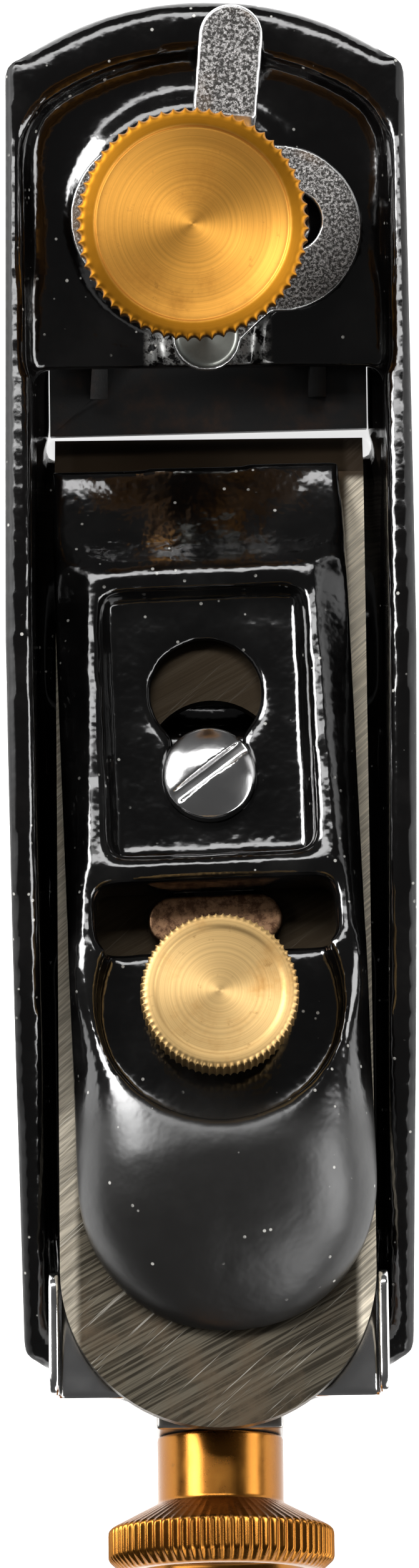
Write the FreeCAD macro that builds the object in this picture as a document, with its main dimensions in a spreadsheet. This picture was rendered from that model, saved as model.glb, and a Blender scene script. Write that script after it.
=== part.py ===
import FreeCAD, Part
import math
import os
import Sketcher

# A low-angle block plane, in millimetres.
# Origin: middle of the sole, on its bottom face. +Y points to the nose, +X to the user's right, +Z up.
# Pieces that lie on the bed are drawn in the bed's own frame: X across, +Y down the slope to the
# mouth, Z square to the bed. There, a place u is measured from the cutting edge towards the tail,
# so its local Y is -u, and a height v is measured up from the bed.

SIZES = {
    # casting, in plan
    "sole_length": 158.8,
    "end_bulge": 7.5,
    "waist_gap": 2.15,
    "waist_y": 8.0,
    "tail_gap": 1.3,
    "nose_margin": 4.35,
    "corner_radius": 2.0,
    "sole_thickness": 3.5,
    "cheek_thickness": 3.0,
    "front_cheek_thickness": 2.1,
    "tail_wall": 3.4,
    # casting, side view of the cheeks
    "cheek_top": 27.5,
    "hump_y": -6.0,
    "hump_radius": 130.0,
    "hump_ahead": 36.0,
    "hump_behind": 34.0,
    "brow_length": 15.4,
    "brow_top": 12.6,
    "nose_top": 11.0,
    "haunch_length": 7.4,
    "haunch_top": 14.2,
    "tail_top": 8.5,
    "grip_y": -12.0,
    "grip_height": 14.0,
    "grip_length": 44.0,
    "grip_width": 13.0,
    "grip_depth": 0.9,
    # deck over the toe
    "throat_length": 7.6,
    "deck_top": 10.0,
    "deck_underside": 6.0,
    "deck_floor": 8.4,
    "rim_band": 6.0,
    "deck_corner_radius": 8.0,
    "boss_ring_radius": 13.4,
    "web_front_half": 6.8,
    "web_rear_half": 5.3,
    # mouth and bed
    "nose_to_edge": 48.8,
    "edge_lift": 0.02,
    "bed_angle": 13.0,
    "mouth_side_gap": 0.55,
    "mouth_land": 2.0,
    "ramp_margin": 0.6,
    "front_bed_end": 30.0,
    "cap_screw_u": 40.4,
    "cap_screw_x": -0.35,
    "boss_half": 6.5,
    "rear_bed_start": 60.0,
    "rear_bed_end": 93.0,
    "rear_bed_inset": 0.45,
    "stud_boss_start": 96.0,
    "stud_boss_end": 104.0,
    "stud_boss_half": 7.0,
    "stud_drop": 9.5,
    # sliding toe and its lever
    "toe_thickness": 3.8,
    "toe_length": 35.6,
    "toe_gap": 0.62,
    "toe_skew": 0.28,
    "mouth_opening": 4.8,
    "mouth_closing": 0.27,
    "toe_rib_width": 2.0,
    "toe_rib_inset": 4.6,
    "toe_boss_radius": 6.0,
    "stem_x": -1.5,
    "pivot_to_stem": 11.1,
    "stem_radius": 3.0,
    "pivot_x": -0.1,
    "edge_to_pivot": 11.0,
    "pivot_radius": 2.2,
    "pivot_head_radius": 3.6,
    "pivot_head_height": 1.7,
    "lever_thickness": 1.5,
    "lever_turn": 41.0,
    "lever_tab_angle": 5.3,
    "lever_tab_reach": 37.0,
    "lever_tab_half": 3.6,
    "lever_tab_lift": 13.1,
    "lever_crank_start": 22.5,
    "lever_crank_end": 25.5,
    "lobe_offset": 7.0,
    "lobe_ahead": 12.7,
    "lobe_radius": 9.35,
    "lobe_eye_radius": 3.9,
    # front knob
    "front_knob_radius": 12.75,
    "front_knob_foot": 7.0,
    "front_knob_waist": 5.8,
    "front_knob_height": 20.0,
    "front_knob_rim": 4.6,
    "front_knob_dish": 10.7,
    "front_knob_dish_depth": 1.3,
    "front_knob_scallops": 60,
    "front_knob_scallop_depth": 0.45,
    # cutter
    "blade_width": 34.9,
    "blade_length": 113.0,
    "blade_thickness": 2.1,
    "bevel_length": 4.5,
    "blade_hole_u": 38.6,
    "blade_hole_radius": 7.6,
    "blade_slot_half": 5.5,
    "blade_slot_end": 58.0,
    "rack_start": 64.0,
    "rack_pitch": 2.4,
    "rack_count": 11,
    "rack_half": 6.0,
    "rack_groove": 1.2,
    "rack_depth": 0.9,
    # lever cap
    "cap_yaw": 1.83,
    "cap_inset": 0.95,
    "cap_front_u": 3.7,
    "cap_rear_u": 102.7,
    "cap_lip": 1.0,
    "cap_brow_u": 17.0,
    "cap_brow": 8.0,
    "cap_shoulder_u": 60.0,
    "cap_shoulder": 11.5,
    "cap_crest_u": 84.0,
    "cap_crest": 15.0,
    "cap_heel": 3.2,
    "cap_dome_bulge": 31.0,
    "cap_wall": 2.6,
    "cap_clearance": 0.15,
    "cap_relief": 0.5,
    "cap_nose_land": 8.0,
    "pocket_rim": 5.3,
    "pocket_start": 19.5,
    "pocket_end": 50.0,
    "pocket_floor": 4.5,
    "keyhole_travel": 9.8,
    "keyhole_radius": 6.05,
    "keyhole_neck_half": 3.7,
    "window_rim": 3.3,
    "window_start": 53.4,
    "window_end": 60.5,
    "bowl_radius": 13.6,
    "bowl_floor": 7.5,
    "cap_hollow_end": 97.0,
    "cap_roof": 5.4,
    # cap screw
    "cap_screw_radius": 3.0,
    "cap_screw_head": 5.2,
    "cap_screw_rim": 2.2,
    "cap_screw_dome": 1.4,
    "cap_screw_depth": 7.4,
    "screw_slot_half": 0.7,
    "screw_slot_depth": 1.3,
    "screw_slot_angle": 37.0,
    # locking knob, its screw and the pad under it
    "lock_u": 67.1,
    "lock_radius": 8.7,
    "lock_rim": 5.5,
    "lock_top": 17.0,
    "lock_hub": 4.6,
    "lock_hub_length": 2.2,
    "lock_teeth": 70,
    "lock_tooth_depth": 0.35,
    "lock_screw_radius": 3.0,
    "lock_chamfer": 0.5,
    "pad_front_u": 53.7,
    "pad_head_length": 5.5,
    "pad_head_half": 7.5,
    "pad_neck_half": 4.0,
    "pad_thickness": 1.7,
    "pad_tip_radius": 1.6,
    # feed slide, lateral lever and adjusting nut
    "slide_half": 7.0,
    "slide_thickness": 1.5,
    "slide_drop": 4.2,
    "slide_front_u": 44.6,
    "fork_u": 110.9,
    "fork_thickness": 1.6,
    "fork_reach": 3.6,
    "rivet_u": 50.0,
    "rivet_radius": 2.5,
    "rivet_head_radius": 3.9,
    "rivet_head_height": 0.9,
    "lateral_thickness": 1.2,
    "lateral_drop": 2.6,
    "lateral_half": 5.0,
    "wing_lead": 0.25,
    "wing_length": 13.9,
    "wing_gap": 0.15,
    "wing_wall": 1.15,
    "wing_top": 1.6,
    "wing_corner": 2.0,
    "key_index": 6,
    "key_half": 5.0,
    "key_width": 1.0,
    "key_rise": 0.7,
    "stud_radius": 3.0,
    "stud_start": 96.6,
    "stud_end": 120.0,
    "nut_neck": 4.0,
    "nut_flange": 5.2,
    "nut_flange_length": 1.4,
    "nut_hub": 7.0,
    "nut_hub_end": 120.0,
    "nut_cone_end": 122.9,
    "nut_radius": 12.55,
    "nut_rim_length": 3.3,
    "nut_chamfer": 1.4,
    "nut_dish_radius": 9.2,
    "nut_dish_depth": 2.0,
    "nut_flutes": 72,
    "nut_flute_depth": 0.5,
    # clearances
    "thread_clearance": 0.05,
    "sliding_clearance": 0.1,
    "pivot_clearance": 0.05,
    "slot_clearance": 0.3,
}


class Size:
    """A number, and the spreadsheet expression that gives it."""

    def __init__(self, value, text):
        self.value = value
        self.text = text

    def __add__(self, other):
        return Size(self.value + number(other), f"({self.text} + {text_of(other)})")

    def __radd__(self, other):
        return Size(other + self.value, f"({other} + {self.text})")

    def __sub__(self, other):
        return Size(self.value - number(other), f"({self.text} - {text_of(other)})")

    def __rsub__(self, other):
        return Size(other - self.value, f"({other} - {self.text})")

    def __mul__(self, other):
        return Size(self.value * number(other), f"({self.text} * {text_of(other)})")

    def __rmul__(self, other):
        return Size(other * self.value, f"({other} * {self.text})")

    def __truediv__(self, other):
        return Size(self.value / number(other), f"({self.text} / {text_of(other)})")

    def __neg__(self):
        return Size(-self.value, f"(-{self.text})")


def number(size):
    return size.value if isinstance(size, Size) else float(size)


def text_of(size):
    return size.text if isinstance(size, Size) else str(size)


def sine(angle):
    return Size(math.sin(math.radians(angle.value)), f"sin({angle.text})")


def cosine(angle):
    return Size(math.cos(math.radians(angle.value)), f"cos({angle.text})")


def root(size):
    return Size(math.sqrt(size.value), f"sqrt({size.text})")


def drop_of_arc(radius, across):
    """How far an arc has fallen at a distance across from its highest point."""
    return radius - root(radius * radius - across * across)


def arc_radius(chord, bulge):
    """Radius of the arc that stands bulge above its chord."""
    return (chord * chord / 4 + bulge * bulge) / (2 * bulge)


doc = FreeCAD.newDocument("BlockPlane")
sheet = doc.addObject("Spreadsheet::Sheet", "Sizes")
for row, (alias, value) in enumerate(SIZES.items(), start=1):
    sheet.set(f"A{row}", alias)
    sheet.set(f"B{row}", str(value))
    sheet.setAlias(f"B{row}", alias)
doc.recompute()
S = {alias: Size(value, f"Sizes.{alias}") for alias, value in SIZES.items()}
pieces = []

# Sizes worked out from the driving ones, so that what fits together stays together.
S["edge_y"] = S["sole_length"] / 2 - S["nose_to_edge"]
S["deck_rear_y"] = S["edge_y"] + S["throat_length"]
S["pivot_y"] = S["edge_y"] + S["edge_to_pivot"]
S["stem_y"] = S["pivot_y"] + S["pivot_to_stem"]
S["brow_y"] = S["sole_length"] / 2 - S["brow_length"]
S["haunch_y"] = S["haunch_length"] - S["sole_length"] / 2
S["mouth_width"] = S["blade_width"] + 2 * S["mouth_side_gap"]
S["nose_width"] = S["mouth_width"] + 2 * S["nose_margin"]
S["waist_width"] = S["blade_width"] + 2 * (S["waist_gap"] + S["cheek_thickness"])
S["tail_width"] = S["blade_width"] + 2 * (S["tail_gap"] + S["cheek_thickness"])
S["cap_width"] = S["blade_width"] - 2 * S["cap_inset"]
S["pocket_half"] = S["cap_width"] / 2 - S["pocket_rim"]
S["window_half"] = S["cap_width"] / 2 - S["window_rim"]
S["rear_bed_half"] = S["blade_width"] / 2 - S["rear_bed_inset"]
S["wing_half"] = S["blade_width"] / 2 + S["wing_gap"] + S["wing_wall"]
S["wing_start"] = S["blade_length"] - S["blade_width"] / 2 - S["wing_lead"]
S["wing_end"] = S["wing_start"] + S["wing_length"]


# ---- drawing and feature helpers ----

def bind(thing, name, size):
    """Set a property from a size and keep it tied to the spreadsheet."""
    setattr(thing, name, number(size))
    if isinstance(size, Size):
        thing.setExpression(name, size.text)


def new_body(label, x=0, y=0, z=0, rotation="rotation(vector(1; 0; 0); 0)"):
    """A body named for its piece, placed by an expression."""
    body = doc.addObject("PartDesign::Body", label)
    body.Label = label
    place = f"vector({text_of(x)}; {text_of(y)}; {text_of(z)})"
    body.setExpression("Placement", f"placement({place}; {rotation})")
    pieces.append(body)
    return body


def about(axis, angle):
    """The expression of a turn about one of the three axes."""
    unit = {"x": "1; 0; 0", "y": "0; 1; 0", "z": "0; 0; 1"}[axis]
    return f"rotation(vector({unit}); {text_of(angle)})"


def bed_point(u, v=0):
    """World Y and Z of a place on the bed's centre line."""
    y = S["edge_y"] - u * cosine(S["bed_angle"]) + v * sine(S["bed_angle"])
    z = u * sine(S["bed_angle"]) + v * cosine(S["bed_angle"])
    return y, z


def bed_body(label, u=Size(0.0, "0"), v=0, x=0, turn=None):
    """A body in the bed's frame, with its origin at (x, u, v) and turned about the bed's normal."""
    y, z = bed_point(u, v)
    rotation = about("x", -S["bed_angle"])
    if turn is not None:
        rotation = f"{rotation} * {about('z', turn)}"
    return new_body(label, x, y, z, rotation)


def cap_body(label, u):
    """A body on the lever cap's own centre line, which is askew about the cap screw."""
    behind = u - S["cap_screw_u"]
    along = S["cap_screw_u"] + behind * cosine(S["cap_yaw"])
    across = S["cap_screw_x"] + behind * sine(S["cap_yaw"])
    return bed_body(label, along, x=across, turn=S["cap_yaw"])


def new_sketch(body, plane, name, lift=0):
    """A sketch on one of the body's own origin planes, raised along that plane's normal."""
    base = [item for item in body.Origin.OriginFeatures if item.Role == f"{plane}_Plane"][0]
    sketch = body.newObject("Sketcher::SketchObject", name)
    sketch.AttachmentSupport = (base, [""])
    sketch.MapMode = "FlatFace"
    sketch.AttachmentOffset = FreeCAD.Placement(FreeCAD.Vector(0, 0, number(lift)), FreeCAD.Rotation())
    if isinstance(lift, Size):
        sketch.setExpression("AttachmentOffset.Base.z", lift.text)
    return sketch


def constrain(sketch, kind, *where_and_size):
    """Add one dimension whose last value may be a size from the sheet."""
    *where, size = where_and_size
    index = sketch.addConstraint(Sketcher.Constraint(kind, *where, number(size)))
    if isinstance(size, Size):
        sketch.setExpression(f"Constraints[{index}]", size.text)


def locate(sketch, geometry, position, x, y):
    """Fix a point of some geometry at (x, y)."""
    constrain(sketch, "DistanceX", -1, 1, geometry, position, x)
    constrain(sketch, "DistanceY", -1, 1, geometry, position, y)


def arc_between(start, end, radius):
    """The short arc from start to end. It turns left for a positive radius, right for a negative."""
    chord = end - start
    reach = math.sqrt(max(radius * radius - chord.Length * chord.Length / 4, 0.0))
    left = FreeCAD.Vector(-chord.y, chord.x, 0).normalize()
    centre = (start + end) / 2 + left * math.copysign(reach, radius)
    first, last = (start, end) if radius > 0 else (end, start)
    angles = [math.atan2(point.y - centre.y, point.x - centre.x) for point in (first, last)]
    circle = Part.Circle(centre, FreeCAD.Vector(0, 0, 1), abs(radius))
    return Part.ArcOfCircle(circle, angles[0], angles[1])


def outline(sketch, corners):
    """A closed outline. A corner is (x, y), or (x, y, radius) where an arc leaves it."""
    points = [FreeCAD.Vector(number(corner[0]), number(corner[1]), 0) for corner in corners]
    edges = []
    for index, corner in enumerate(corners):
        start = points[index]
        end = points[(index + 1) % len(points)]
        radius = corner[2] if len(corner) > 2 else None
        if radius is None:
            edge = sketch.addGeometry(Part.LineSegment(start, end), False)
            edges.append((edge, 1, 2))
        else:
            edge = sketch.addGeometry(arc_between(start, end, number(radius)), False)
            edges.append((edge, 1, 2) if number(radius) > 0 else (edge, 2, 1))
    for index, (edge, start, end) in enumerate(edges):
        following, first, _ = edges[(index + 1) % len(edges)]
        sketch.addConstraint(Sketcher.Constraint("Coincident", edge, end, following, first))
    for corner, (edge, start, end) in zip(corners, edges):
        locate(sketch, edge, start, corner[0], corner[1])
        if len(corner) > 2:
            radius = corner[2] if number(corner[2]) > 0 else -corner[2]
            constrain(sketch, "Radius", edge, radius)


def ring(sketch, x, y, radius):
    """A full circle."""
    centre = FreeCAD.Vector(number(x), number(y), 0)
    edge = sketch.addGeometry(Part.Circle(centre, FreeCAD.Vector(0, 0, 1), number(radius)), False)
    locate(sketch, edge, 3, x, y)
    constrain(sketch, "Radius", edge, radius)


def box_corners(left, right, low, high):
    return [(left, low), (right, low), (right, high), (left, high)]


def checked(body, feature, grows):
    """Recompute and make sure that the feature really added or removed material."""
    before = feature.BaseFeature.Shape.Volume if feature.BaseFeature else 0.0
    doc.recompute()
    change = feature.Shape.Volume - before
    if (change > 0) != grows or abs(change) < 1e-3:
        raise RuntimeError(f"{body.Label}: {feature.Label} changed the volume by {change:.4f}")
    return feature


def extrude(body, kind, sketch, length, both, along):
    feature = body.newObject(f"PartDesign::{kind}", f"{sketch.Name}{kind}")
    feature.Profile = sketch
    bind(feature, "Length", length)
    feature.SideType = "Symmetric" if both else "One side"
    feature.Reversed = not along if kind == "Pad" else along
    sketch.Visibility = False
    return checked(body, feature, kind == "Pad")


def pad(body, sketch, length, both=False, along=True):
    """Add material along the sketch's normal, against it, or half to each side."""
    return extrude(body, "Pad", sketch, length, both, along)


def cut(body, sketch, length, both=False, along=True):
    """Remove material along the sketch's normal, against it, or half to each side."""
    return extrude(body, "Pocket", sketch, length, both, along)


def spin(body, kind, sketch, axis):
    """Turn a sketch a full circle about its own axis to add (Revolution) or remove (Groove)."""
    feature = body.newObject(f"PartDesign::{kind}", f"{sketch.Name}{kind}")
    feature.Profile = sketch
    feature.ReferenceAxis = (sketch, [axis])
    feature.Angle = 360
    return checked(body, feature, kind == "Revolution")


def turned(body, name, corners):
    """A turned piece: corners are (radius, height) about the body's own Z axis."""
    sketch = new_sketch(body, "XZ", name)
    outline(sketch, corners)
    return spin(body, "Revolution", sketch, "V_Axis")


def repeat_round(body, feature, count):
    """Copy a feature around the body's Z axis."""
    axis = [item for item in body.Origin.OriginFeatures if item.Role == "Z_Axis"][0]
    pattern = body.newObject("PartDesign::PolarPattern", f"{feature.Name}Round")
    pattern.Originals = [feature]
    pattern.Axis = (axis, [""])
    pattern.Angle = 360
    bind(pattern, "Occurrences", count)
    body.Tip = pattern
    doc.recompute()
    return pattern


def round_edges(body, feature, edges, radius, kind="Fillet"):
    """Fillet or chamfer the named edges of the feature."""
    rounding = body.newObject(f"PartDesign::{kind}", f"{feature.Name}{kind}")
    rounding.Base = (feature, edges)
    bind(rounding, "Radius" if kind == "Fillet" else "Size", radius)
    doc.recompute()
    return rounding


# ---- places that several pieces share ----

half_length = S["sole_length"] / 2
corner_y = half_length - S["end_bulge"]
blade_half = S["blade_width"] / 2
mouth_half = S["mouth_width"] / 2
mouth_rear_y = S["edge_y"] - S["mouth_land"]
toe_rear_y = S["edge_y"] + S["toe_gap"]
toe_front_y = toe_rear_y + S["toe_length"]
toe_recess_front = toe_front_y + S["mouth_opening"] + S["sliding_clearance"]
lever_bottom = S["deck_top"] + S["sliding_clearance"] / 2
lever_top = lever_bottom + S["lever_thickness"]
blade_top = S["edge_lift"] + S["blade_thickness"]
cap_under = blade_top + S["cap_clearance"]
slide_top = S["slide_thickness"] - S["slide_drop"]
channel_floor = -S["slide_drop"] - S["sliding_clearance"]
lateral_top = S["lateral_thickness"] - S["lateral_drop"]
key_u = S["rack_start"] + S["rack_pitch"] * S["key_index"]
thread_hole = S["thread_clearance"]
far = S["sole_length"]


def plan_of_casting():
    """The casting's outline from above: two curved ends and two slightly bowed sides."""
    nose = S["nose_width"] / 2
    waist = S["waist_width"] / 2
    tail = S["tail_width"] / 2
    return [
        (-tail, -corner_y, arc_radius(2 * tail, S["end_bulge"])),
        (tail, -corner_y),
        (waist, S["waist_y"]),
        (nose, corner_y, arc_radius(2 * nose, S["end_bulge"])),
        (-nose, corner_y),
        (-waist, S["waist_y"]),
    ]


# ---- body casting: sole, cheeks, deck, bed and bosses in one piece of cast iron ----

def make_body_casting():
    body = new_body("body_casting")
    plan = new_sketch(body, "XY", "CastingPlan")
    outline(plan, plan_of_casting())
    block = pad(body, plan, S["cheek_top"])
    upright = [f"Edge{index}" for index, edge in enumerate(block.Shape.Edges, start=1)
               if len(edge.Vertexes) == 2 and abs(edge.BoundBox.ZLength - S["cheek_top"].value) < 1e-6
               and abs(abs(edge.BoundBox.Center.y) - corner_y.value) < 1e-3]
    round_edges(body, block, upright, S["corner_radius"])

    # Cheeks: a hump amidships that runs down straight to the nose and to the tail.
    ahead_y = S["hump_y"] + S["hump_ahead"]
    behind_y = S["hump_y"] - S["hump_behind"]
    ahead_z = S["cheek_top"] - drop_of_arc(S["hump_radius"], S["hump_ahead"])
    behind_z = S["cheek_top"] - drop_of_arc(S["hump_radius"], S["hump_behind"])
    above = new_sketch(body, "YZ", "AboveCheeks")
    outline(above, [
        (-far, S["cheek_top"] + 1),
        (-far, S["tail_top"]),
        (-half_length, S["tail_top"]),
        (S["haunch_y"], S["haunch_top"]),
        (behind_y, behind_z, -S["hump_radius"]),
        (ahead_y, ahead_z),
        (S["brow_y"], S["brow_top"]),
        (half_length, S["nose_top"]),
        (far, S["nose_top"]),
        (far, S["cheek_top"] + 1),
    ])
    cut(body, above, far, both=True)

    # The well behind the deck, and the shallower pocket on top of the deck.
    well = new_sketch(body, "XY", "Well", S["sole_thickness"])
    waist_in = S["waist_width"] / 2 - S["cheek_thickness"]
    tail_in = S["tail_width"] / 2 - S["cheek_thickness"]
    tail_in_y = -corner_y + S["tail_wall"]
    outline(well, [
        (-tail_in, tail_in_y, arc_radius(2 * tail_in, S["end_bulge"])),
        (tail_in, tail_in_y),
        (waist_in, S["waist_y"]),
        (waist_in, S["deck_rear_y"]),
        (-waist_in, S["deck_rear_y"]),
        (-waist_in, S["waist_y"]),
    ])
    cut(body, well, S["cheek_top"])
    front_in = S["nose_width"] / 2 - S["front_cheek_thickness"]
    front_arc = arc_radius(2 * front_in, S["end_bulge"])
    deck = new_sketch(body, "XY", "DeckPocket", S["deck_floor"])
    outline(deck, [
        (-front_in, S["deck_rear_y"] - 1),
        (front_in, S["deck_rear_y"] - 1),
        (front_in, corner_y - S["rim_band"], front_arc),
        (-front_in, corner_y - S["rim_band"]),
    ])
    pocket = cut(body, deck, S["cheek_top"])
    corners = [f"Edge{index}" for index, edge in enumerate(pocket.Shape.Edges, start=1)
               if abs(abs(edge.BoundBox.Center.x) - front_in.value) < 0.01 and edge.BoundBox.YLength < 0.01
               and abs(edge.BoundBox.Center.y - (corner_y - S["rim_band"]).value) < 0.01]
    round_edges(body, pocket, corners, S["deck_corner_radius"])
    ring_pad = new_sketch(body, "XY", "BossRing", S["deck_floor"])
    ring(ring_pad, S["stem_x"], S["stem_y"] + S["mouth_opening"] / 2, S["boss_ring_radius"])
    pad(body, ring_pad, S["deck_top"] - S["deck_floor"])
    web = new_sketch(body, "XY", "LeverWeb", S["deck_floor"])
    outline(web, [
        (-S["web_rear_half"], S["deck_rear_y"]),
        (S["web_rear_half"], S["deck_rear_y"]),
        (S["web_front_half"], S["stem_y"]),
        (-S["web_front_half"], S["stem_y"]),
    ])
    pad(body, web, S["deck_top"] - S["deck_floor"])

    # Mouth: one opening holds the sliding toe, under the deck, and the throat behind it.
    recess = new_sketch(body, "XY", "ToeRecess")
    outline(recess, box_corners(-mouth_half, mouth_half, mouth_rear_y, toe_recess_front))
    cut(body, recess, S["deck_underside"])
    slot = new_sketch(body, "XY", "StemSlot")
    slot_half = S["stem_radius"] + S["slot_clearance"]
    slot_rear = S["stem_y"] - S["mouth_closing"] - S["slot_clearance"]
    slot_front = S["stem_y"] + S["mouth_opening"] + S["slot_clearance"]
    outline(slot, [
        (S["stem_x"] + slot_half, slot_rear),
        (S["stem_x"] + slot_half, slot_front, slot_half),
        (S["stem_x"], slot_front + slot_half, slot_half),
        (S["stem_x"] - slot_half, slot_front),
        (S["stem_x"] - slot_half, slot_rear, slot_half),
        (S["stem_x"], slot_rear - slot_half, slot_half),
    ])
    cut(body, slot, S["cheek_top"])
    pivot_hole = new_sketch(body, "XY", "PivotHole", S["deck_top"])
    ring(pivot_hole, S["pivot_x"], S["pivot_y"], S["pivot_radius"] + thread_hole)
    cut(body, pivot_hole, S["deck_top"] - S["deck_underside"], along=False)

    # Bed: a full-width pad behind the mouth, a screw boss, two rails and the stud's boss.
    def wedge(name, start, end, half, drop=Size(0.0, "0")):
        floor = S["sole_thickness"] / 2
        start_y, start_z = bed_point(start, -drop)
        end_y, end_z = bed_point(end, -drop)
        sketch = new_sketch(body, "YZ", name)
        outline(sketch, [(start_y, start_z), (start_y, floor), (end_y, floor), (end_y, end_z)])
        return pad(body, sketch, 2 * half, both=True)

    bed_rise_u = S["sole_thickness"] / sine(S["bed_angle"])
    wedge("FrontBed", bed_rise_u, S["front_bed_end"], mouth_half)
    wedge("ScrewBoss", S["cap_screw_u"] - S["boss_half"], S["cap_screw_u"] + S["boss_half"], S["boss_half"])
    wedge("RearBed", S["rear_bed_start"], S["rear_bed_end"], S["rear_bed_half"])
    wedge("StudBoss", S["stud_boss_start"], S["stud_boss_end"], S["stud_boss_half"], -channel_floor)

    # The sole behind the mouth is planed down to the bed's slope.
    ramp = new_sketch(body, "YZ", "MouthRamp")
    near_y, near_z = bed_point(Size(0.0, "0"))
    top_y, top_z = bed_point(bed_rise_u)
    outline(ramp, [(near_y, near_z), (near_y, S["sole_thickness"] + 1), (top_y, S["sole_thickness"] + 1),
                   (top_y, top_z)])
    cut(body, ramp, 2 * (mouth_half + S["ramp_margin"]), both=True)

    # The channel for the feed slide runs from behind the screw boss over the rear bed.
    channel = new_sketch(body, "YZ", "SlideChannel")
    channel_corners = []
    for u, v in ((S["slide_front_u"] - 1, channel_floor), (S["rear_bed_end"] + 2, channel_floor),
                 (S["rear_bed_end"] + 2, S["blade_thickness"]), (S["slide_front_u"] - 1, S["blade_thickness"])):
        channel_corners.append(bed_point(u, v))
    outline(channel, channel_corners)
    cut(body, channel, 2 * (S["slide_half"] + S["sliding_clearance"] * 4), both=True)

    # Threaded holes square to the bed and along it.
    def drilled(name, x, axis_from, axis_to, wall_from, wall_to):
        sketch = new_sketch(body, "YZ", name, x)
        outline(sketch, [axis_from, wall_from, wall_to, axis_to])
        line = Part.LineSegment(FreeCAD.Vector(number(axis_from[0]), number(axis_from[1]), 0),
                                FreeCAD.Vector(number(axis_to[0]), number(axis_to[1]), 0))
        axis = sketch.addGeometry(line, True)
        locate(sketch, axis, 1, *axis_from)
        locate(sketch, axis, 2, *axis_to)
        return spin(body, "Groove", sketch, "Axis0")

    screw_hole = S["cap_screw_radius"] + thread_hole
    depth = -(S["cap_screw_depth"] + S["sliding_clearance"])
    drilled("CapScrewHole", S["cap_screw_x"], bed_point(S["cap_screw_u"], depth), bed_point(S["cap_screw_u"], 1),
            bed_point(S["cap_screw_u"] - screw_hole, depth), bed_point(S["cap_screw_u"] - screw_hole, 1))
    stud_hole = S["stud_radius"] + thread_hole
    drop = S["stud_drop"]
    stud_from = S["stud_start"] - S["sliding_clearance"]
    stud_to = S["stud_boss_end"] + 2
    drilled("StudHole", 0, bed_point(stud_from, -drop), bed_point(stud_to, -drop),
            bed_point(stud_from, -drop - stud_hole), bed_point(stud_to, -drop - stud_hole))

    # Long oval finger hollows in the outside of both cheeks.
    for side, name in ((1, "RightGrip"), (-1, "LeftGrip")):
        face = side * (S["waist_width"] / 2 - S["grip_depth"])
        grip = new_sketch(body, "YZ", name, face)
        rear = S["grip_y"] - S["grip_length"] / 2 + S["grip_width"] / 2
        front = S["grip_y"] + S["grip_length"] / 2 - S["grip_width"] / 2
        half = S["grip_width"] / 2
        middle = S["grip_height"]
        outline(grip, [
            (rear, middle - half),
            (front, middle - half, half),
            (front + half, middle, half),
            (front, middle + half),
            (rear, middle + half, half),
            (rear - half, middle, half),
        ])
        cut(body, grip, S["grip_depth"] * 3, along=side > 0)
    return body


# ---- sliding toe that opens and closes the mouth ----

def make_mouth_plate():
    body = new_body("mouth_plate")
    half = mouth_half - S["sliding_clearance"]
    plan = new_sketch(body, "XY", "ToePlan")
    outline(plan, [
        (-half, toe_rear_y - S["toe_skew"]),
        (half, toe_rear_y + S["toe_skew"]),
        (half, toe_front_y),
        (-half, toe_front_y),
    ])
    pad(body, plan, S["toe_thickness"])
    top = S["deck_underside"] - S["sliding_clearance"]
    rib_rear = toe_rear_y + S["toe_thickness"]
    for side in (-1, 1):
        rib = new_sketch(body, "XY", "LeftRib" if side < 0 else "RightRib", S["toe_thickness"] / 2)
        inner = side * (half - S["toe_rib_inset"] - S["toe_rib_width"])
        outer = side * (half - S["toe_rib_inset"])
        left, right = (outer, inner) if side < 0 else (inner, outer)
        outline(rib, box_corners(left, right, rib_rear, toe_front_y - S["toe_rib_width"]))
        pad(body, rib, top - S["toe_thickness"] / 2)
    boss = new_sketch(body, "XY", "ToeBoss", S["toe_thickness"] / 2)
    ring(boss, S["stem_x"], S["stem_y"], S["toe_boss_radius"])
    pad(body, boss, top - S["toe_thickness"] / 2)
    hole = new_sketch(body, "XY", "StemThread", S["sole_thickness"] / 3)
    ring(hole, S["stem_x"], S["stem_y"], S["stem_radius"] + thread_hole)
    cut(body, hole, S["deck_underside"])
    return body


# ---- front knob: a turned brass knob on a steel stem that screws into the toe ----

def make_finger_knob():
    foot = lever_top + S["sliding_clearance"] / 2
    body = new_body("finger_knob", S["stem_x"], S["stem_y"], foot)
    height = S["front_knob_height"]
    rim = height - S["front_knob_rim"]
    bore = S["stem_radius"]
    bore_top = rim
    radius = S["front_knob_radius"]
    dish = S["front_knob_dish"]
    turned(body, "KnobProfile", [
        (bore, 0),
        (S["front_knob_foot"], 0),
        (S["front_knob_foot"], 1.2),
        (S["front_knob_waist"], height * 0.28),
        (S["front_knob_waist"], height * 0.42),
        (radius - S["front_knob_scallop_depth"] * 2, rim - 0.6),
        (radius, rim),
        (radius, height - 0.8),
        (radius - 0.8, height),
        (dish, height, -arc_radius(2 * dish, S["front_knob_dish_depth"])),
        (0, height - S["front_knob_dish_depth"]),
        (0, bore_top),
        (bore, bore_top),
    ])
    scallop = new_sketch(body, "XY", "Scallop", rim - 1)
    bite = 0.55
    ring(scallop, radius + bite - S["front_knob_scallop_depth"], 0, bite)
    bitten = cut(body, scallop, S["front_knob_rim"] + 2)
    repeat_round(body, bitten, S["front_knob_scallops"])
    return body


def make_finger_knob_stem():
    bottom = S["sole_thickness"] / 3 + S["sliding_clearance"]
    body = new_body("finger_knob_stem", S["stem_x"], S["stem_y"], bottom)
    top = lever_top + S["front_knob_height"] - S["front_knob_rim"] - bottom
    radius = S["stem_radius"]
    turned(body, "StemProfile", [(0, 0), (radius - 0.5, 0), (radius, 0.5), (radius, top), (0, top)])
    return body


# ---- throat lever: a flat plate whose cam slot pushes the stem, and so the toe, to and fro ----

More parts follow.
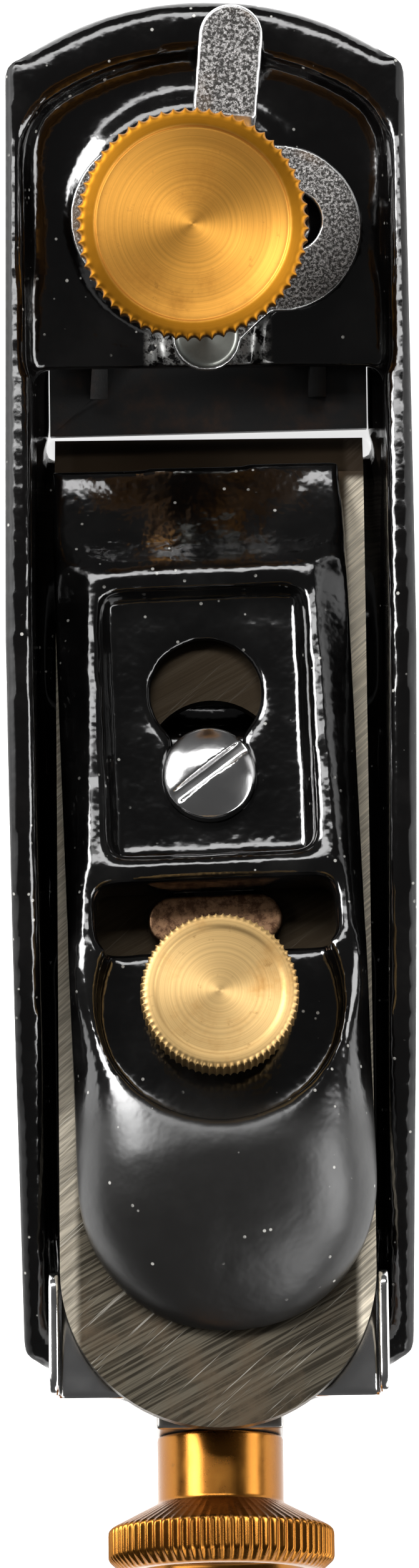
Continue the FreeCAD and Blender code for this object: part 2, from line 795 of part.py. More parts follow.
def make_throat_lever():
    tilt = -S["lever_tab_angle"]
    body = new_body("throat_lever", S["pivot_x"], S["pivot_y"], lever_bottom, about("z", tilt))
    eye = S["lobe_eye_radius"]
    across = S["lobe_offset"]
    ahead = S["lobe_ahead"]
    lobe = S["lobe_radius"]
    tab = S["lever_tab_half"]
    plan = new_sketch(body, "XY", "LobePlan")
    outline(plan, [
        (0, -eye, eye),
        (eye, 0),
        (across, ahead - lobe, lobe),
        (across + lobe, ahead, lobe),
        (across, ahead + lobe),
        (tab, ahead + lobe),
        (tab, S["lever_crank_start"]),
        (-tab, S["lever_crank_start"]),
        (-tab, ahead + lobe),
        (-across, ahead + lobe, lobe),
        (-across - lobe, ahead, lobe),
        (-across, ahead - lobe),
        (-eye, 0, eye),
    ])
    pad(body, plan, S["lever_thickness"])

    # The tab is cranked up so that it clears the rim of the nose.
    lift = S["lever_tab_lift"] - lever_bottom
    thick = S["lever_thickness"]
    tip_flat = S["lever_tab_reach"]
    crank = new_sketch(body, "YZ", "TabCrank")
    outline(crank, [
        (S["lever_crank_start"] - 1, 0),
        (S["lever_crank_start"], 0),
        (S["lever_crank_end"], lift),
        (tip_flat, lift),
        (tip_flat, lift + thick),
        (S["lever_crank_end"] - thick / 2, lift + thick),
        (S["lever_crank_start"] - thick / 2, thick),
        (S["lever_crank_start"] - 1, thick),
    ])
    pad(body, crank, 2 * tab, both=True)
    tip = new_sketch(body, "XY", "TabTip")
    outline(tip, [
        (tab, tip_flat - tab, tab),
        (0, tip_flat, tab),
        (-tab, tip_flat - tab),
        (-tab, tip_flat + 1),
        (tab, tip_flat + 1),
    ])
    cut(body, tip, S["deck_top"])

    # Cam slot: at each turn of the lever its middle line passes through the stem.
    ratio = S["mouth_opening"] / S["lever_turn"]

    def stem_seen_from_lever(turn):
        across = S["stem_x"] - S["pivot_x"]
        ahead = S["stem_y"] - S["pivot_y"] + ratio * turn
        angle = turn + tilt
        x = across * cosine(angle) + ahead * sine(angle)
        y = ahead * cosine(angle) - across * sine(angle)
        return x, y

    closing_turn = S["mouth_closing"] / ratio
    start = stem_seen_from_lever(-closing_turn - 1)
    middle = stem_seen_from_lever(S["lever_turn"] / 2)
    end = stem_seen_from_lever(S["lever_turn"] + 1)
    slot = new_sketch(body, "XY", "CamSlot")
    cam_slot(slot, start, middle, end, S["stem_radius"] + S["slot_clearance"])
    cut(body, slot, S["lever_thickness"] * 2)
    hole = new_sketch(body, "XY", "EyeHole")
    ring(hole, 0, 0, S["pivot_radius"] + S["pivot_clearance"])
    cut(body, hole, S["lever_thickness"] * 2)
    return body


def cam_slot(sketch, start, middle, end, half_width):
    """A curved slot with round ends whose middle line passes through three points."""
    points = [FreeCAD.Vector(number(x), number(y), 0) for x, y in (start, middle, end)]
    circle = Part.Arc(points[0], points[1], points[2]).toShape().Curve
    centre = circle.Center
    radius = circle.Radius
    up = FreeCAD.Vector(0, 0, 1)
    first = math.atan2(points[2].y - centre.y, points[2].x - centre.x)
    last = math.atan2(points[0].y - centre.y, points[0].x - centre.x)
    half = number(half_width)
    spine = sketch.addGeometry(Part.ArcOfCircle(Part.Circle(centre, up, radius), first, last), True)
    outer = sketch.addGeometry(Part.ArcOfCircle(Part.Circle(centre, up, radius + half), first, last), False)
    inner = sketch.addGeometry(Part.ArcOfCircle(Part.Circle(centre, up, radius - half), first, last), False)
    cap_end = sketch.addGeometry(Part.ArcOfCircle(Part.Circle(points[2], up, half), first - math.pi, first), False)
    cap_start = sketch.addGeometry(Part.ArcOfCircle(Part.Circle(points[0], up, half), last, last + math.pi), False)
    through = sketch.addGeometry(Part.Point(points[1]), True)
    rays = []
    for angle in (first, last):
        rim = centre + FreeCAD.Vector(math.cos(angle), math.sin(angle), 0) * (radius + half)
        rays.append(sketch.addGeometry(Part.LineSegment(centre, rim), True))
    end_ray, start_ray = rays
    sketch.addConstraint([
        Sketcher.Constraint("Coincident", outer, 3, spine, 3),
        Sketcher.Constraint("Coincident", inner, 3, spine, 3),
        Sketcher.Constraint("Coincident", cap_end, 3, spine, 1),
        Sketcher.Constraint("Coincident", cap_start, 3, spine, 2),
        Sketcher.Constraint("PointOnObject", through, 1, spine),
        Sketcher.Constraint("Coincident", end_ray, 1, spine, 3),
        Sketcher.Constraint("Coincident", end_ray, 2, outer, 1),
        Sketcher.Constraint("PointOnObject", spine, 1, end_ray),
        Sketcher.Constraint("Coincident", start_ray, 1, spine, 3),
        Sketcher.Constraint("Coincident", start_ray, 2, outer, 2),
        Sketcher.Constraint("PointOnObject", spine, 2, start_ray),
        Sketcher.Constraint("Coincident", cap_end, 2, outer, 1),
        Sketcher.Constraint("Coincident", cap_end, 1, inner, 1),
        Sketcher.Constraint("PointOnObject", inner, 1, end_ray),
        Sketcher.Constraint("Coincident", cap_start, 1, outer, 2),
        Sketcher.Constraint("PointOnObject", cap_start, 2, start_ray),
        Sketcher.Constraint("PointOnObject", inner, 2, start_ray),
    ])
    locate(sketch, spine, 1, *end)
    locate(sketch, spine, 2, *start)
    locate(sketch, through, 1, *middle)
    constrain(sketch, "Radius", cap_end, half_width)


def make_throat_lever_pivot():
    body = new_body("throat_lever_pivot", S["pivot_x"], S["pivot_y"], S["deck_underside"])
    shank = S["pivot_radius"]
    head_from = lever_top + S["sliding_clearance"] / 2 - S["deck_underside"]
    head_to = head_from + S["pivot_head_height"]
    head = S["pivot_head_radius"]
    turned(body, "PivotProfile", [
        (0, 0),
        (shank, 0),
        (shank, head_from),
        (head, head_from),
        (head, head_to - 0.4),
        (head - 0.4, head_to),
        (0, head_to),
    ])
    return body


# ---- cutter: a flat steel blade, bevel up, with a keyhole and a rack of grooves underneath ----

def make_cutter():
    body = bed_body("cutter", v=S["edge_lift"])
    tail_centre = S["blade_length"] - blade_half
    plan = new_sketch(body, "XY", "BladePlan")
    outline(plan, [
        (-blade_half, 0),
        (-blade_half, -tail_centre, blade_half),
        (0, -S["blade_length"], blade_half),
        (blade_half, -tail_centre),
        (blade_half, 0),
    ])
    pad(body, plan, S["blade_thickness"])
    bevel = new_sketch(body, "YZ", "Bevel")
    edge_land = 0.05
    outline(bevel, [
        (1, edge_land),
        (0, edge_land),
        (-S["bevel_length"], S["blade_thickness"]),
        (-S["bevel_length"], S["blade_thickness"] + 1),
        (1, S["blade_thickness"] + 1),
    ])
    cut(body, bevel, 2 * blade_half + 1, both=True)
    hole = new_sketch(body, "XY", "KeyholeRound")
    ring(hole, 0, -S["blade_hole_u"], S["blade_hole_radius"])
    cut(body, hole, S["blade_thickness"] * 2)
    slot = new_sketch(body, "XY", "KeyholeSlot")
    half = S["blade_slot_half"]
    slot_centre = S["blade_slot_end"] - half
    outline(slot, [
        (half, -S["blade_hole_u"]),
        (-half, -S["blade_hole_u"]),
        (-half, -slot_centre, half),
        (0, -S["blade_slot_end"], half),
        (half, -slot_centre),
    ])
    cut(body, slot, S["blade_thickness"] * 2)
    groove = new_sketch(body, "XY", "RackGroove")
    width = S["rack_groove"] / 2
    outline(groove, box_corners(-S["rack_half"], S["rack_half"], -S["rack_start"] - width, -S["rack_start"] + width))
    first = cut(body, groove, S["rack_depth"])
    rack = body.newObject("PartDesign::LinearPattern", "Rack")
    rack.Originals = [first]
    rack.Direction = (groove, ["V_Axis"])
    rack.Reversed = True
    bind(rack, "Length", S["rack_pitch"] * (S["rack_count"] - 1))
    bind(rack, "Occurrences", S["rack_count"])
    body.Tip = rack
    doc.recompute()
    return body


# ---- lever cap: the casting that clamps the cutter and fills the palm ----

def make_lever_cap():
    body = cap_body("lever_cap", S["cap_screw_u"])
    screw_u = S["cap_screw_u"]
    half = S["cap_width"] / 2

    def at(u):
        return screw_u - u

    plan = new_sketch(body, "XY", "CapPlan", cap_under)
    tail_centre = S["cap_rear_u"] - half
    outline(plan, [
        (-half, at(S["cap_front_u"])),
        (-half, at(tail_centre), half),
        (0, at(S["cap_rear_u"]), half),
        (half, at(tail_centre)),
        (half, at(S["cap_front_u"])),
    ])
    pad(body, plan, S["cap_crest"] + S["cap_lip"] - cap_under)

    # Side view of the top: thin lip, hollow rise to the brow, slow climb to the crest, palm dome.
    above = new_sketch(body, "YZ", "AboveCap")
    high = S["cap_crest"] + S["cap_lip"] * 2
    outline(above, [
        (at(0), high),
        (at(S["cap_rear_u"] + 1), high),
        (at(S["cap_rear_u"] + 1), S["cap_heel"]),
        (at(S["cap_rear_u"]), S["cap_heel"], -S["cap_dome_bulge"]),
        (at(S["cap_crest_u"]), S["cap_crest"]),
        (at(S["cap_shoulder_u"]), S["cap_shoulder"]),
        (at(S["cap_brow_u"]), S["cap_brow"], 26),
        (at(S["cap_front_u"]), cap_under + S["cap_lip"]),
        (at(0), cap_under + S["cap_lip"]),
    ])
    cut(body, above, 2 * S["cap_width"], both=True)

    pocket = new_sketch(body, "XY", "FrontPocket", S["pocket_floor"])
    inner = S["pocket_half"]
    outline(pocket, box_corners(-inner, inner, at(S["pocket_end"]), at(S["pocket_start"])))
    cut(body, pocket, S["cap_crest"])
    bowl = new_sketch(body, "XY", "Bowl", S["bowl_floor"])
    ring(bowl, 0, at(S["lock_u"]), S["bowl_radius"])
    cut(body, bowl, S["cap_crest"])
    window = new_sketch(body, "XY", "Window")
    outline(window, box_corners(-S["window_half"], S["window_half"], at(S["window_end"]), at(S["window_start"])))
    cut(body, window, high)

    # Underneath, only the lip and the rim touch the cutter; behind the window the casting is hollow.
    relief = new_sketch(body, "XY", "FrontRelief", cap_under)
    relief_half = half - S["cap_wall"]
    outline(relief, box_corners(-relief_half, relief_half, at(S["window_start"] + 1), at(S["cap_nose_land"])))
    cut(body, relief, S["cap_relief"])
    hollow = new_sketch(body, "XY", "RearHollow", cap_under)
    hollow_centre = S["cap_hollow_end"] - relief_half
    outline(hollow, [
        (-relief_half, at(S["window_end"] - 1)),
        (-relief_half, at(hollow_centre), relief_half),
        (0, at(S["cap_hollow_end"]), relief_half),
        (relief_half, at(hollow_centre)),
        (relief_half, at(S["window_end"] - 1)),
    ])
    cut(body, hollow, S["cap_roof"] - cap_under)

    # Keyhole: the round end lets the screw's head through, the neck holds it.
    keyhole = new_sketch(body, "XY", "KeyholeRound")
    ring(keyhole, 0, S["keyhole_travel"], S["keyhole_radius"])
    cut(body, keyhole, S["cap_brow"])
    neck = new_sketch(body, "XY", "KeyholeNeck")
    narrow = S["keyhole_neck_half"]
    outline(neck, [
        (narrow, S["keyhole_travel"]),
        (-narrow, S["keyhole_travel"]),
        (-narrow, 0, narrow),
        (0, -narrow, narrow),
        (narrow, 0),
    ])
    cut(body, neck, S["cap_brow"])
    thread = new_sketch(body, "XY", "LockThread")
    ring(thread, 0, at(S["lock_u"]), S["lock_screw_radius"] + thread_hole)
    cut(body, thread, high)
    return body


def make_cap_screw():
    body = bed_body("cap_screw", S["cap_screw_u"], x=S["cap_screw_x"], turn=S["screw_slot_angle"])
    seat = S["pocket_floor"] + S["sliding_clearance"] / 2
    shank = S["cap_screw_radius"]
    head = S["cap_screw_head"]
    rim = seat + S["cap_screw_rim"]
    top = rim + S["cap_screw_dome"]
    turned(body, "ScrewProfile", [
        (0, -S["cap_screw_depth"]),
        (shank - 0.5, -S["cap_screw_depth"]),
        (shank, 0.5 - S["cap_screw_depth"]),
        (shank, seat),
        (head, seat),
        (head, rim, arc_radius(2 * head, S["cap_screw_dome"])),
        (0, top),
    ])
    slot = new_sketch(body, "XZ", "DriverSlot")
    half = S["screw_slot_half"]
    outline(slot, [(-head - 1, top - S["screw_slot_depth"]), (head + 1, top - S["screw_slot_depth"]),
                   (head + 1, top + 1), (-head - 1, top + 1)])
    cut(body, slot, 2 * half, both=True)
    return body


# ---- locking knob: turned down, its screw presses the pad on the cutter and tips the cap tight ----

def make_cap_lock_knob():
    body = cap_body("cap_lock_knob", S["lock_u"])
    top = S["lock_top"]
    rim = top - S["lock_rim"]
    hub = rim - S["lock_hub_length"]
    radius = S["lock_radius"]
    bore = S["lock_screw_radius"]
    edge = S["lock_chamfer"]
    turned(body, "LockProfile", [
        (bore, hub),
        (S["lock_hub"], hub),
        (S["lock_hub"], rim),
        (radius - edge, rim),
        (radius, rim + edge),
        (radius, top - edge),
        (radius - edge, top),
        (0, top),
        (0, top - 2),
        (bore, top - 2),
    ])
    tooth = new_sketch(body, "XY", "LockTooth", rim - 1)
    bite = 0.3
    ring(tooth, radius + bite - S["lock_tooth_depth"], 0, bite)
    bitten = cut(body, tooth, S["lock_rim"] + 2)
    repeat_round(body, bitten, S["lock_teeth"])
    return body


def make_cap_lock_screw():
    body = cap_body("cap_lock_screw", S["lock_u"])
    pad_top = cap_under + S["pad_thickness"]
    radius = S["lock_screw_radius"]
    tip = S["pad_tip_radius"]
    shoulder = pad_top + S["sliding_clearance"] / 2
    turned(body, "LockScrewProfile", [
        (0, cap_under + 0.2),
        (tip, cap_under + 0.2),
        (tip, shoulder),
        (radius, shoulder),
        (radius, S["lock_top"] - 2),
        (0, S["lock_top"] - 2),
    ])
    return body


def make_clamp_pad():
    body = cap_body("clamp_pad", S["lock_u"])
    front = S["lock_u"] - S["pad_front_u"]
    head = S["pad_head_half"]
    neck = S["pad_neck_half"]
    rear = front - S["pad_head_length"]
    corner = S["pad_head_length"] / 2
    middle = front - corner
    plan = new_sketch(body, "XY", "PadPlan", cap_under)
    outline(plan, [
        (-neck, 0, neck),
        (0, -neck, neck),
        (neck, 0),
        (neck, rear),
        (head - corner, rear, corner),
        (head, middle, corner),
        (head - corner, front),
        (corner - head, front, corner),
        (-head, middle, corner),
        (corner - head, rear),
        (-neck, rear),
    ])
    pad(body, plan, S["pad_thickness"])
    hole = new_sketch(body, "XY", "PadHole")
    ring(hole, 0, 0, S["pad_tip_radius"] + S["pivot_clearance"])
    cut(body, hole, S["lock_top"])
    return body


# ---- feed slide: lies in the bed's channel and carries the lateral lever on a rivet ----

def make_adjusting_slide():
    body = bed_body("adjusting_slide")
    half = S["slide_half"]
    fork_rear = S["fork_u"] + S["fork_thickness"]
    plan = new_sketch(body, "XY", "SlidePlan", -S["slide_drop"])
    outline(plan, box_corners(-half, half, -fork_rear, -S["slide_front_u"]))
    pad(body, plan, S["slide_thickness"])
    fork = new_sketch(body, "XZ", "Fork", S["fork_u"])
    bottom = -S["stud_drop"] - S["fork_reach"]
    outline(fork, box_corners(-half, half, bottom, slide_top))
    pad(body, fork, S["fork_thickness"])
    notch = new_sketch(body, "XZ", "ForkNotch", S["fork_u"])
    gap = S["nut_neck"] + S["sliding_clearance"]
    outline(notch, [
        (-gap, bottom - 1),
        (gap, bottom - 1),
        (gap, -S["stud_drop"]),
        (-gap, -S["stud_drop"]),
    ])
    cut(body, notch, S["fork_thickness"] * 1.5)
    crown = new_sketch(body, "XZ", "ForkCrown", S["fork_u"])
    ring(crown, 0, -S["stud_drop"], gap)
    cut(body, crown, S["fork_thickness"] * 1.5)
    hole = new_sketch(body, "XY", "RivetHole", -S["slide_drop"])
    ring(hole, 0, -S["rivet_u"], S["rivet_radius"])
    cut(body, hole, S["slide_drop"])
    return body


def make_lateral_pivot_rivet():
    body = bed_body("lateral_pivot_rivet", S["rivet_u"])
    radius = S["rivet_radius"]
    head = S["rivet_head_radius"]
    head_from = lateral_top + S["sliding_clearance"] / 2
    turned(body, "RivetProfile", [
        (0, -S["slide_drop"]),
        (radius, -S["slide_drop"]),
        (radius, head_from),
        (head, head_from),
        (head - 0.4, head_from + S["rivet_head_height"]),
        (0, head_from + S["rivet_head_height"]),
    ])
    return body


# ---- lateral lever: a tongue under the cutter that opens into two upturned ears ----

def make_lateral_lever():
    body = bed_body("lateral_lever", S["rivet_u"])
    half = S["lateral_half"]
    wing = S["wing_half"]
    start = S["rivet_u"] - S["wing_start"]
    end = S["rivet_u"] - S["wing_end"]
    corner = S["wing_corner"]
    plan = new_sketch(body, "XY", "LateralPlan", -S["lateral_drop"])
    outline(plan, [
        (half, 0, half),
        (0, half, half),
        (-half, 0),
        (-half, start),
        (-wing, start),
        (-wing, end),
        (wing, end),
        (wing, start),
        (half, start),
    ])
    plate = pad(body, plan, S["lateral_thickness"])
    for side in (-1, 1):
        ear = new_sketch(body, "XY", "LeftEar" if side < 0 else "RightEar", -S["lateral_drop"])
        inner = side * (wing - S["wing_wall"])
        outer = side * wing
        left, right = (outer, inner) if side < 0 else (inner, outer)
        outline(ear, box_corners(left, right, end, start))
        plate = pad(body, ear, S["lateral_drop"] + S["wing_top"])
    low = number(-S["lateral_drop"])
    high = number(S["wing_top"])
    rims = (number(start), number(end))

    def is_top_corner(edge):
        box = edge.BoundBox
        at_end = min(abs(box.Center.y - rim) for rim in rims) < 1e-3
        return at_end and box.XLength > 1 and box.XLength < 2 and abs(box.Center.z - high) < 1e-3

    def is_bottom_side(edge):
        box = edge.BoundBox
        return abs(abs(box.Center.x) - number(wing)) < 1e-3 and box.YLength > 5 and abs(box.Center.z - low) < 1e-3

    tops = [f"Edge{index}" for index, edge in enumerate(plate.Shape.Edges, start=1) if is_top_corner(edge)]
    rounded = round_edges(body, plate, tops, corner)
    sides = [f"Edge{index}" for index, edge in enumerate(rounded.Shape.Edges, start=1) if is_bottom_side(edge)]
    round_edges(body, rounded, sides, S["wing_wall"])
    hole = new_sketch(body, "XY", "EyeHole", -S["lateral_drop"])
    ring(hole, 0, 0, S["rivet_radius"] + S["pivot_clearance"])
    cut(body, hole, S["lateral_drop"])
    slot = new_sketch(body, "XY", "KeySlot", -S["lateral_drop"])
    key_half = S["key_half"] * 0.8
    key_at = S["rivet_u"] - key_u
    width = S["key_width"] / 2
    outline(slot, box_corners(-key_half, key_half, key_at - width, key_at + width))
    cut(body, slot, S["lateral_drop"])
    return body


def make_feed_key():
    body = bed_body("feed_key", key_u)
    width = S["key_width"] / 2
    foot = S["key_half"] * 0.8
    stem = new_sketch(body, "XY", "KeyFoot", -S["lateral_drop"])
    outline(stem, box_corners(-foot, foot, -width, width))
    pad(body, stem, S["lateral_drop"] + S["key_rise"])
    head = new_sketch(body, "XY", "KeyHead", lateral_top)
    outline(head, box_corners(-S["key_half"], S["key_half"], -width, width))
    pad(body, head, S["key_rise"] - lateral_top)
    return body


# ---- depth adjuster: a stud in the casting and the brass nut that drives the fork ----

def along_bed_body(label, u):
    """A turned piece whose own Z axis is the stud's axis, pointing to the tail."""
    y, z = bed_point(u, -S["stud_drop"])
    return new_body(label, 0, y, z, about("x", 90 - S["bed_angle"]))


def make_depth_stud():
    body = along_bed_body("depth_stud", S["stud_start"])
    length = S["stud_end"] - S["stud_start"]
    radius = S["stud_radius"]
    turned(body, "StudProfile", [(0, 0), (radius - 0.5, 0), (radius, 0.5), (radius, length - 0.5),
                                 (radius - 0.5, length), (0, length)])
    return body


def make_depth_nut():
    neck_from = S["fork_u"] - S["sliding_clearance"]
    neck_to = S["fork_u"] + S["fork_thickness"] + S["sliding_clearance"]
    front = neck_from - S["nut_flange_length"]
    body = along_bed_body("depth_nut", front)
    bore = S["stud_radius"] + thread_hole
    rim_to = S["nut_cone_end"] + S["nut_rim_length"]
    rear = rim_to + S["nut_chamfer"]
    bore_end = S["stud_end"] + 1
    floor = rear - S["nut_dish_depth"]

    def at(u):
        return u - front

    turned(body, "NutProfile", [
        (bore, 0),
        (S["nut_flange"], 0),
        (S["nut_flange"], at(neck_from)),
        (S["nut_neck"], at(neck_from)),
        (S["nut_neck"], at(neck_to)),
        (S["nut_hub"], at(neck_to)),
        (S["nut_hub"], at(S["nut_hub_end"])),
        (S["nut_radius"], at(S["nut_cone_end"])),
        (S["nut_radius"], at(rim_to)),
        (S["nut_radius"] - S["nut_chamfer"], at(rear)),
        (S["nut_dish_radius"], at(rear)),
        (S["nut_dish_radius"] - S["nut_dish_depth"], at(floor)),
        (0, at(floor)),
        (0, at(bore_end)),
        (bore, at(bore_end)),
    ])
    flute = new_sketch(body, "XY", "Flute", at(S["nut_cone_end"]) - 1)
    bite = 0.5
    ring(flute, S["nut_radius"] + bite - S["nut_flute_depth"], 0, bite)
    bitten = cut(body, flute, S["nut_rim_length"] + S["nut_chamfer"] + 2)
    repeat_round(body, bitten, S["nut_flutes"])
    return body


make_body_casting()
make_mouth_plate()
make_finger_knob()
make_finger_knob_stem()
make_throat_lever()
make_throat_lever_pivot()
make_cutter()
make_lever_cap()
make_cap_screw()
make_cap_lock_knob()
make_cap_lock_screw()
make_clamp_pad()
make_adjusting_slide()
make_lateral_pivot_rivet()
make_lateral_lever()
make_feed_key()
make_depth_stud()
make_depth_nut()
doc.recompute()

for item in doc.Objects:
    if "Invalid" in item.State or "Error" in item.State:
        raise RuntimeError(f"{item.Label} failed: {item.State}")
for piece in pieces:
    if piece.Shape.isNull() or not piece.Shape.isValid() or len(piece.Shape.Solids) != 1:
        raise RuntimeError(f"{piece.Label} is not one sound solid")

os.makedirs("parts", exist_ok=True)
for piece in pieces:
    piece.Shape.exportStep(os.path.join("parts", f"{piece.Label}.step"))
    print(f"{piece.Label}: {piece.Shape.Volume:.1f} mm3")
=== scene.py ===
"""The looks of a low-angle block plane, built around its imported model. Lengths in the tables are millimetres."""
import math

import bmesh
import bpy
import numpy as np
from mathutils import Matrix, Vector


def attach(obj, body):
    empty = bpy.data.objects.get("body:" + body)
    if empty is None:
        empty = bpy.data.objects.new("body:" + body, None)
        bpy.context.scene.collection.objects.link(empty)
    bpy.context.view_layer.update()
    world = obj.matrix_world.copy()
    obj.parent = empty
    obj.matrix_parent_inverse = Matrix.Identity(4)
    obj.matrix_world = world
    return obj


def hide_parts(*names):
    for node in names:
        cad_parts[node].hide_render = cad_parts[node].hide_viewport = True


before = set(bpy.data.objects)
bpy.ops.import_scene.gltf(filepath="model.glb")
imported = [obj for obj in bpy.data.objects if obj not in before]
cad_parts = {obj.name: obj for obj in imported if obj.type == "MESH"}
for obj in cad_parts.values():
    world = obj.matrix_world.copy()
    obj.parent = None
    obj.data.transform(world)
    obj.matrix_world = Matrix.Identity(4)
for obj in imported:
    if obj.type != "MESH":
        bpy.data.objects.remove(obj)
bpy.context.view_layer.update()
MM = 0.001

# ---- the plane's own frame: the bed rises at 13 degrees from the cutter's edge ----

BED_ANGLE = math.radians(13.0)
EDGE_Y = 30.6
CAP_SCREW_U = 40.4
CAP_SCREW_X = -0.35
CAP_YAW = math.radians(1.83)
FRONT_KNOB = (-1.5, 52.7)
LEVER_PIVOT = (-0.1, 41.6)
STUD_DROP = 9.5
LOCK_KNOB_U = 67.1
GROUND_EDGE = math.radians(20)

# Where the casting's finishes change, in metres.
SIDE_FACE = (0.02145, 0.0217)
CHEEK_ENDS = (0.073, 0.0715)
CHEEK_TOP = (0.0190, 0.0198)
GRIP_MIDDLE_Y, GRIP_MIDDLE_Z = -0.012, 0.014
GRIP_STRAIGHT = 0.0155
GRIP_EDGE = (0.0062, 0.0065)
WEB_REAR, WEB_FRONT, WEB_SIDE = (0.0378, 0.0392), (0.0470, 0.0452), (0.0074, 0.0062)
PALM_REST = (-0.040, -0.047)


def on_bed(u, v, x=0.0):
    """A point u up the bed from the edge, v above the bed and x across, in metres."""
    c, s = math.cos(BED_ANGLE), math.sin(BED_ANGLE)
    return Vector((x, EDGE_Y - u * c + v * s, u * s + v * c)) * MM


def on_cap(along, v, across=0.0):
    """A point on the lever cap's own line, which is askew about the cap screw."""
    c, s = math.cos(CAP_YAW), math.sin(CAP_YAW)
    return on_bed(CAP_SCREW_U + along * c - across * s, v, CAP_SCREW_X + along * s + across * c)


BED_NORMAL = Vector((0, math.sin(BED_ANGLE), math.cos(BED_ANGLE)))
BED_SLOPE = Vector((0, -math.cos(BED_ANGLE), math.sin(BED_ANGLE)))
BED_TURN = Matrix.Rotation(-BED_ANGLE, 4, "X")
UPRIGHT = Matrix.Identity(4)

# ---- making finishes ----


class Finish:
    """A node material whose patterns sit in the piece's own coordinates."""

    def __init__(self, name, colour, metal, roughness, **sockets):
        self.material = bpy.data.materials.new(name)
        self.material.use_nodes = True
        self.tree = self.material.node_tree
        self.shader = self.tree.nodes["Principled BSDF"]
        self.put(self.shader, "Base Color", (*colour, 1))
        self.put(self.shader, "Metallic", metal)
        self.put(self.shader, "Roughness", roughness)
        for socket, value in sockets.items():
            self.put(self.shader, socket.replace("_", " "), value)
        places = self.tree.nodes.new("ShaderNodeTexCoord")
        self.place = places.outputs["Object"]
        self.facing = places.outputs["Normal"]
        self.heights = []

    def put(self, node, socket, value):
        if isinstance(value, bpy.types.NodeSocket):
            self.tree.links.new(value, node.inputs[socket])
        else:
            node.inputs[socket].default_value = value

    def node(self, kind, settings=(), **sockets):
        node = self.tree.nodes.new("ShaderNode" + kind)
        for name, value in dict(settings).items():
            setattr(node, name, value)
        for socket, value in sockets.items():
            self.put(node, int(socket[1:]) if socket[1:].isdigit() else socket.replace("_", " "), value)
        return node

    def sum(self, operation, a, b=0.0, clamp=False):
        return self.node("Math", {"operation": operation, "use_clamp": clamp}, s0=a, s1=b).outputs[0]

    def noise(self, size, detail=3.0, place=None, lean=0.5):
        """Noise whose blotches are about this many millimetres across."""
        return self.node("TexNoise", Vector=place or self.place, Scale=1 / (size * MM), Detail=detail,
                         Roughness=lean).outputs["Fac"]

    def cells(self, size, place=None):
        return self.node("TexVoronoi", Vector=place or self.place, Scale=1 / (size * MM)).outputs["Distance"]

    def stretched(self, factors, turn=(0, 0, 0), centre=(0, 0, 0), place=None):
        """Coordinates turned, then stretched, for a grain that runs one way."""
        return self.node("Mapping", {"vector_type": "TEXTURE"}, Vector=place or self.place, Location=centre,
                         Rotation=turn, Scale=factors).outputs[0]

    def step(self, value, low, high, out_low=0.0, out_high=1.0):
        """A smooth step between two values."""
        return self.node("MapRange", {"interpolation_type": "SMOOTHSTEP"}, Value=value, From_Min=low, From_Max=high,
                         To_Min=out_low, To_Max=out_high).outputs["Result"]

    def axis(self, vector, name):
        return self.node("SeparateXYZ", Vector=vector).outputs[name]

    def mixed(self, share, a, b):
        node = self.tree.nodes.new("ShaderNodeMix")
        node.data_type = "RGBA"
        self.put(node, 0, share)
        for index, value in ((6, a), (7, b)):
            self.put(node, index, value if isinstance(value, bpy.types.NodeSocket) else (*value, 1))
        return node.outputs[2]

    def blended(self, share, a, b):
        """A number that goes from a to b by share."""
        return self.node("MapRange", Value=share, To_Min=a, To_Max=b).outputs["Result"]

    def raised(self, height, depth, strength=1.0):
        """Adds relief: depth is in millimetres for a height from 0 to 1."""
        bump = self.node("Bump", Strength=strength, Distance=depth * MM, Height=height)
        if self.heights:
            self.put(bump, "Normal", self.heights[-1])
        self.heights.append(bump.outputs["Normal"])

    def done(self, colour=None, roughness=None, metal=None, tangent=None):
        for socket, value in (("Base Color", colour), ("Roughness", roughness),
                              ("Metallic", metal), ("Tangent", tangent)):
            if value is not None:
                self.put(self.shader, socket, value)
        if self.heights:
            self.put(self.shader, "Normal", self.heights[-1])
        return self.material


def around(f, centre, axis):
    """Distance from an axis in millimetres, and the direction away from it."""
    arm = f.node("VectorMath", {"operation": "SUBTRACT"}, s0=f.place, s1=tuple(centre)).outputs[0]
    sweep = f.node("VectorMath", {"operation": "CROSS_PRODUCT"}, s0=tuple(axis), s1=arm).outputs[0]
    reach = f.node("VectorMath", {"operation": "LENGTH"}, s0=sweep).outputs["Value"]
    away = f.node("VectorMath", {"operation": "CROSS_PRODUCT"}, s0=sweep, s1=tuple(axis)).outputs[0]
    return f.sum("MULTIPLY", reach, 1 / MM), f.node("VectorMath", {"operation": "NORMALIZE"}, s0=away).outputs[0]


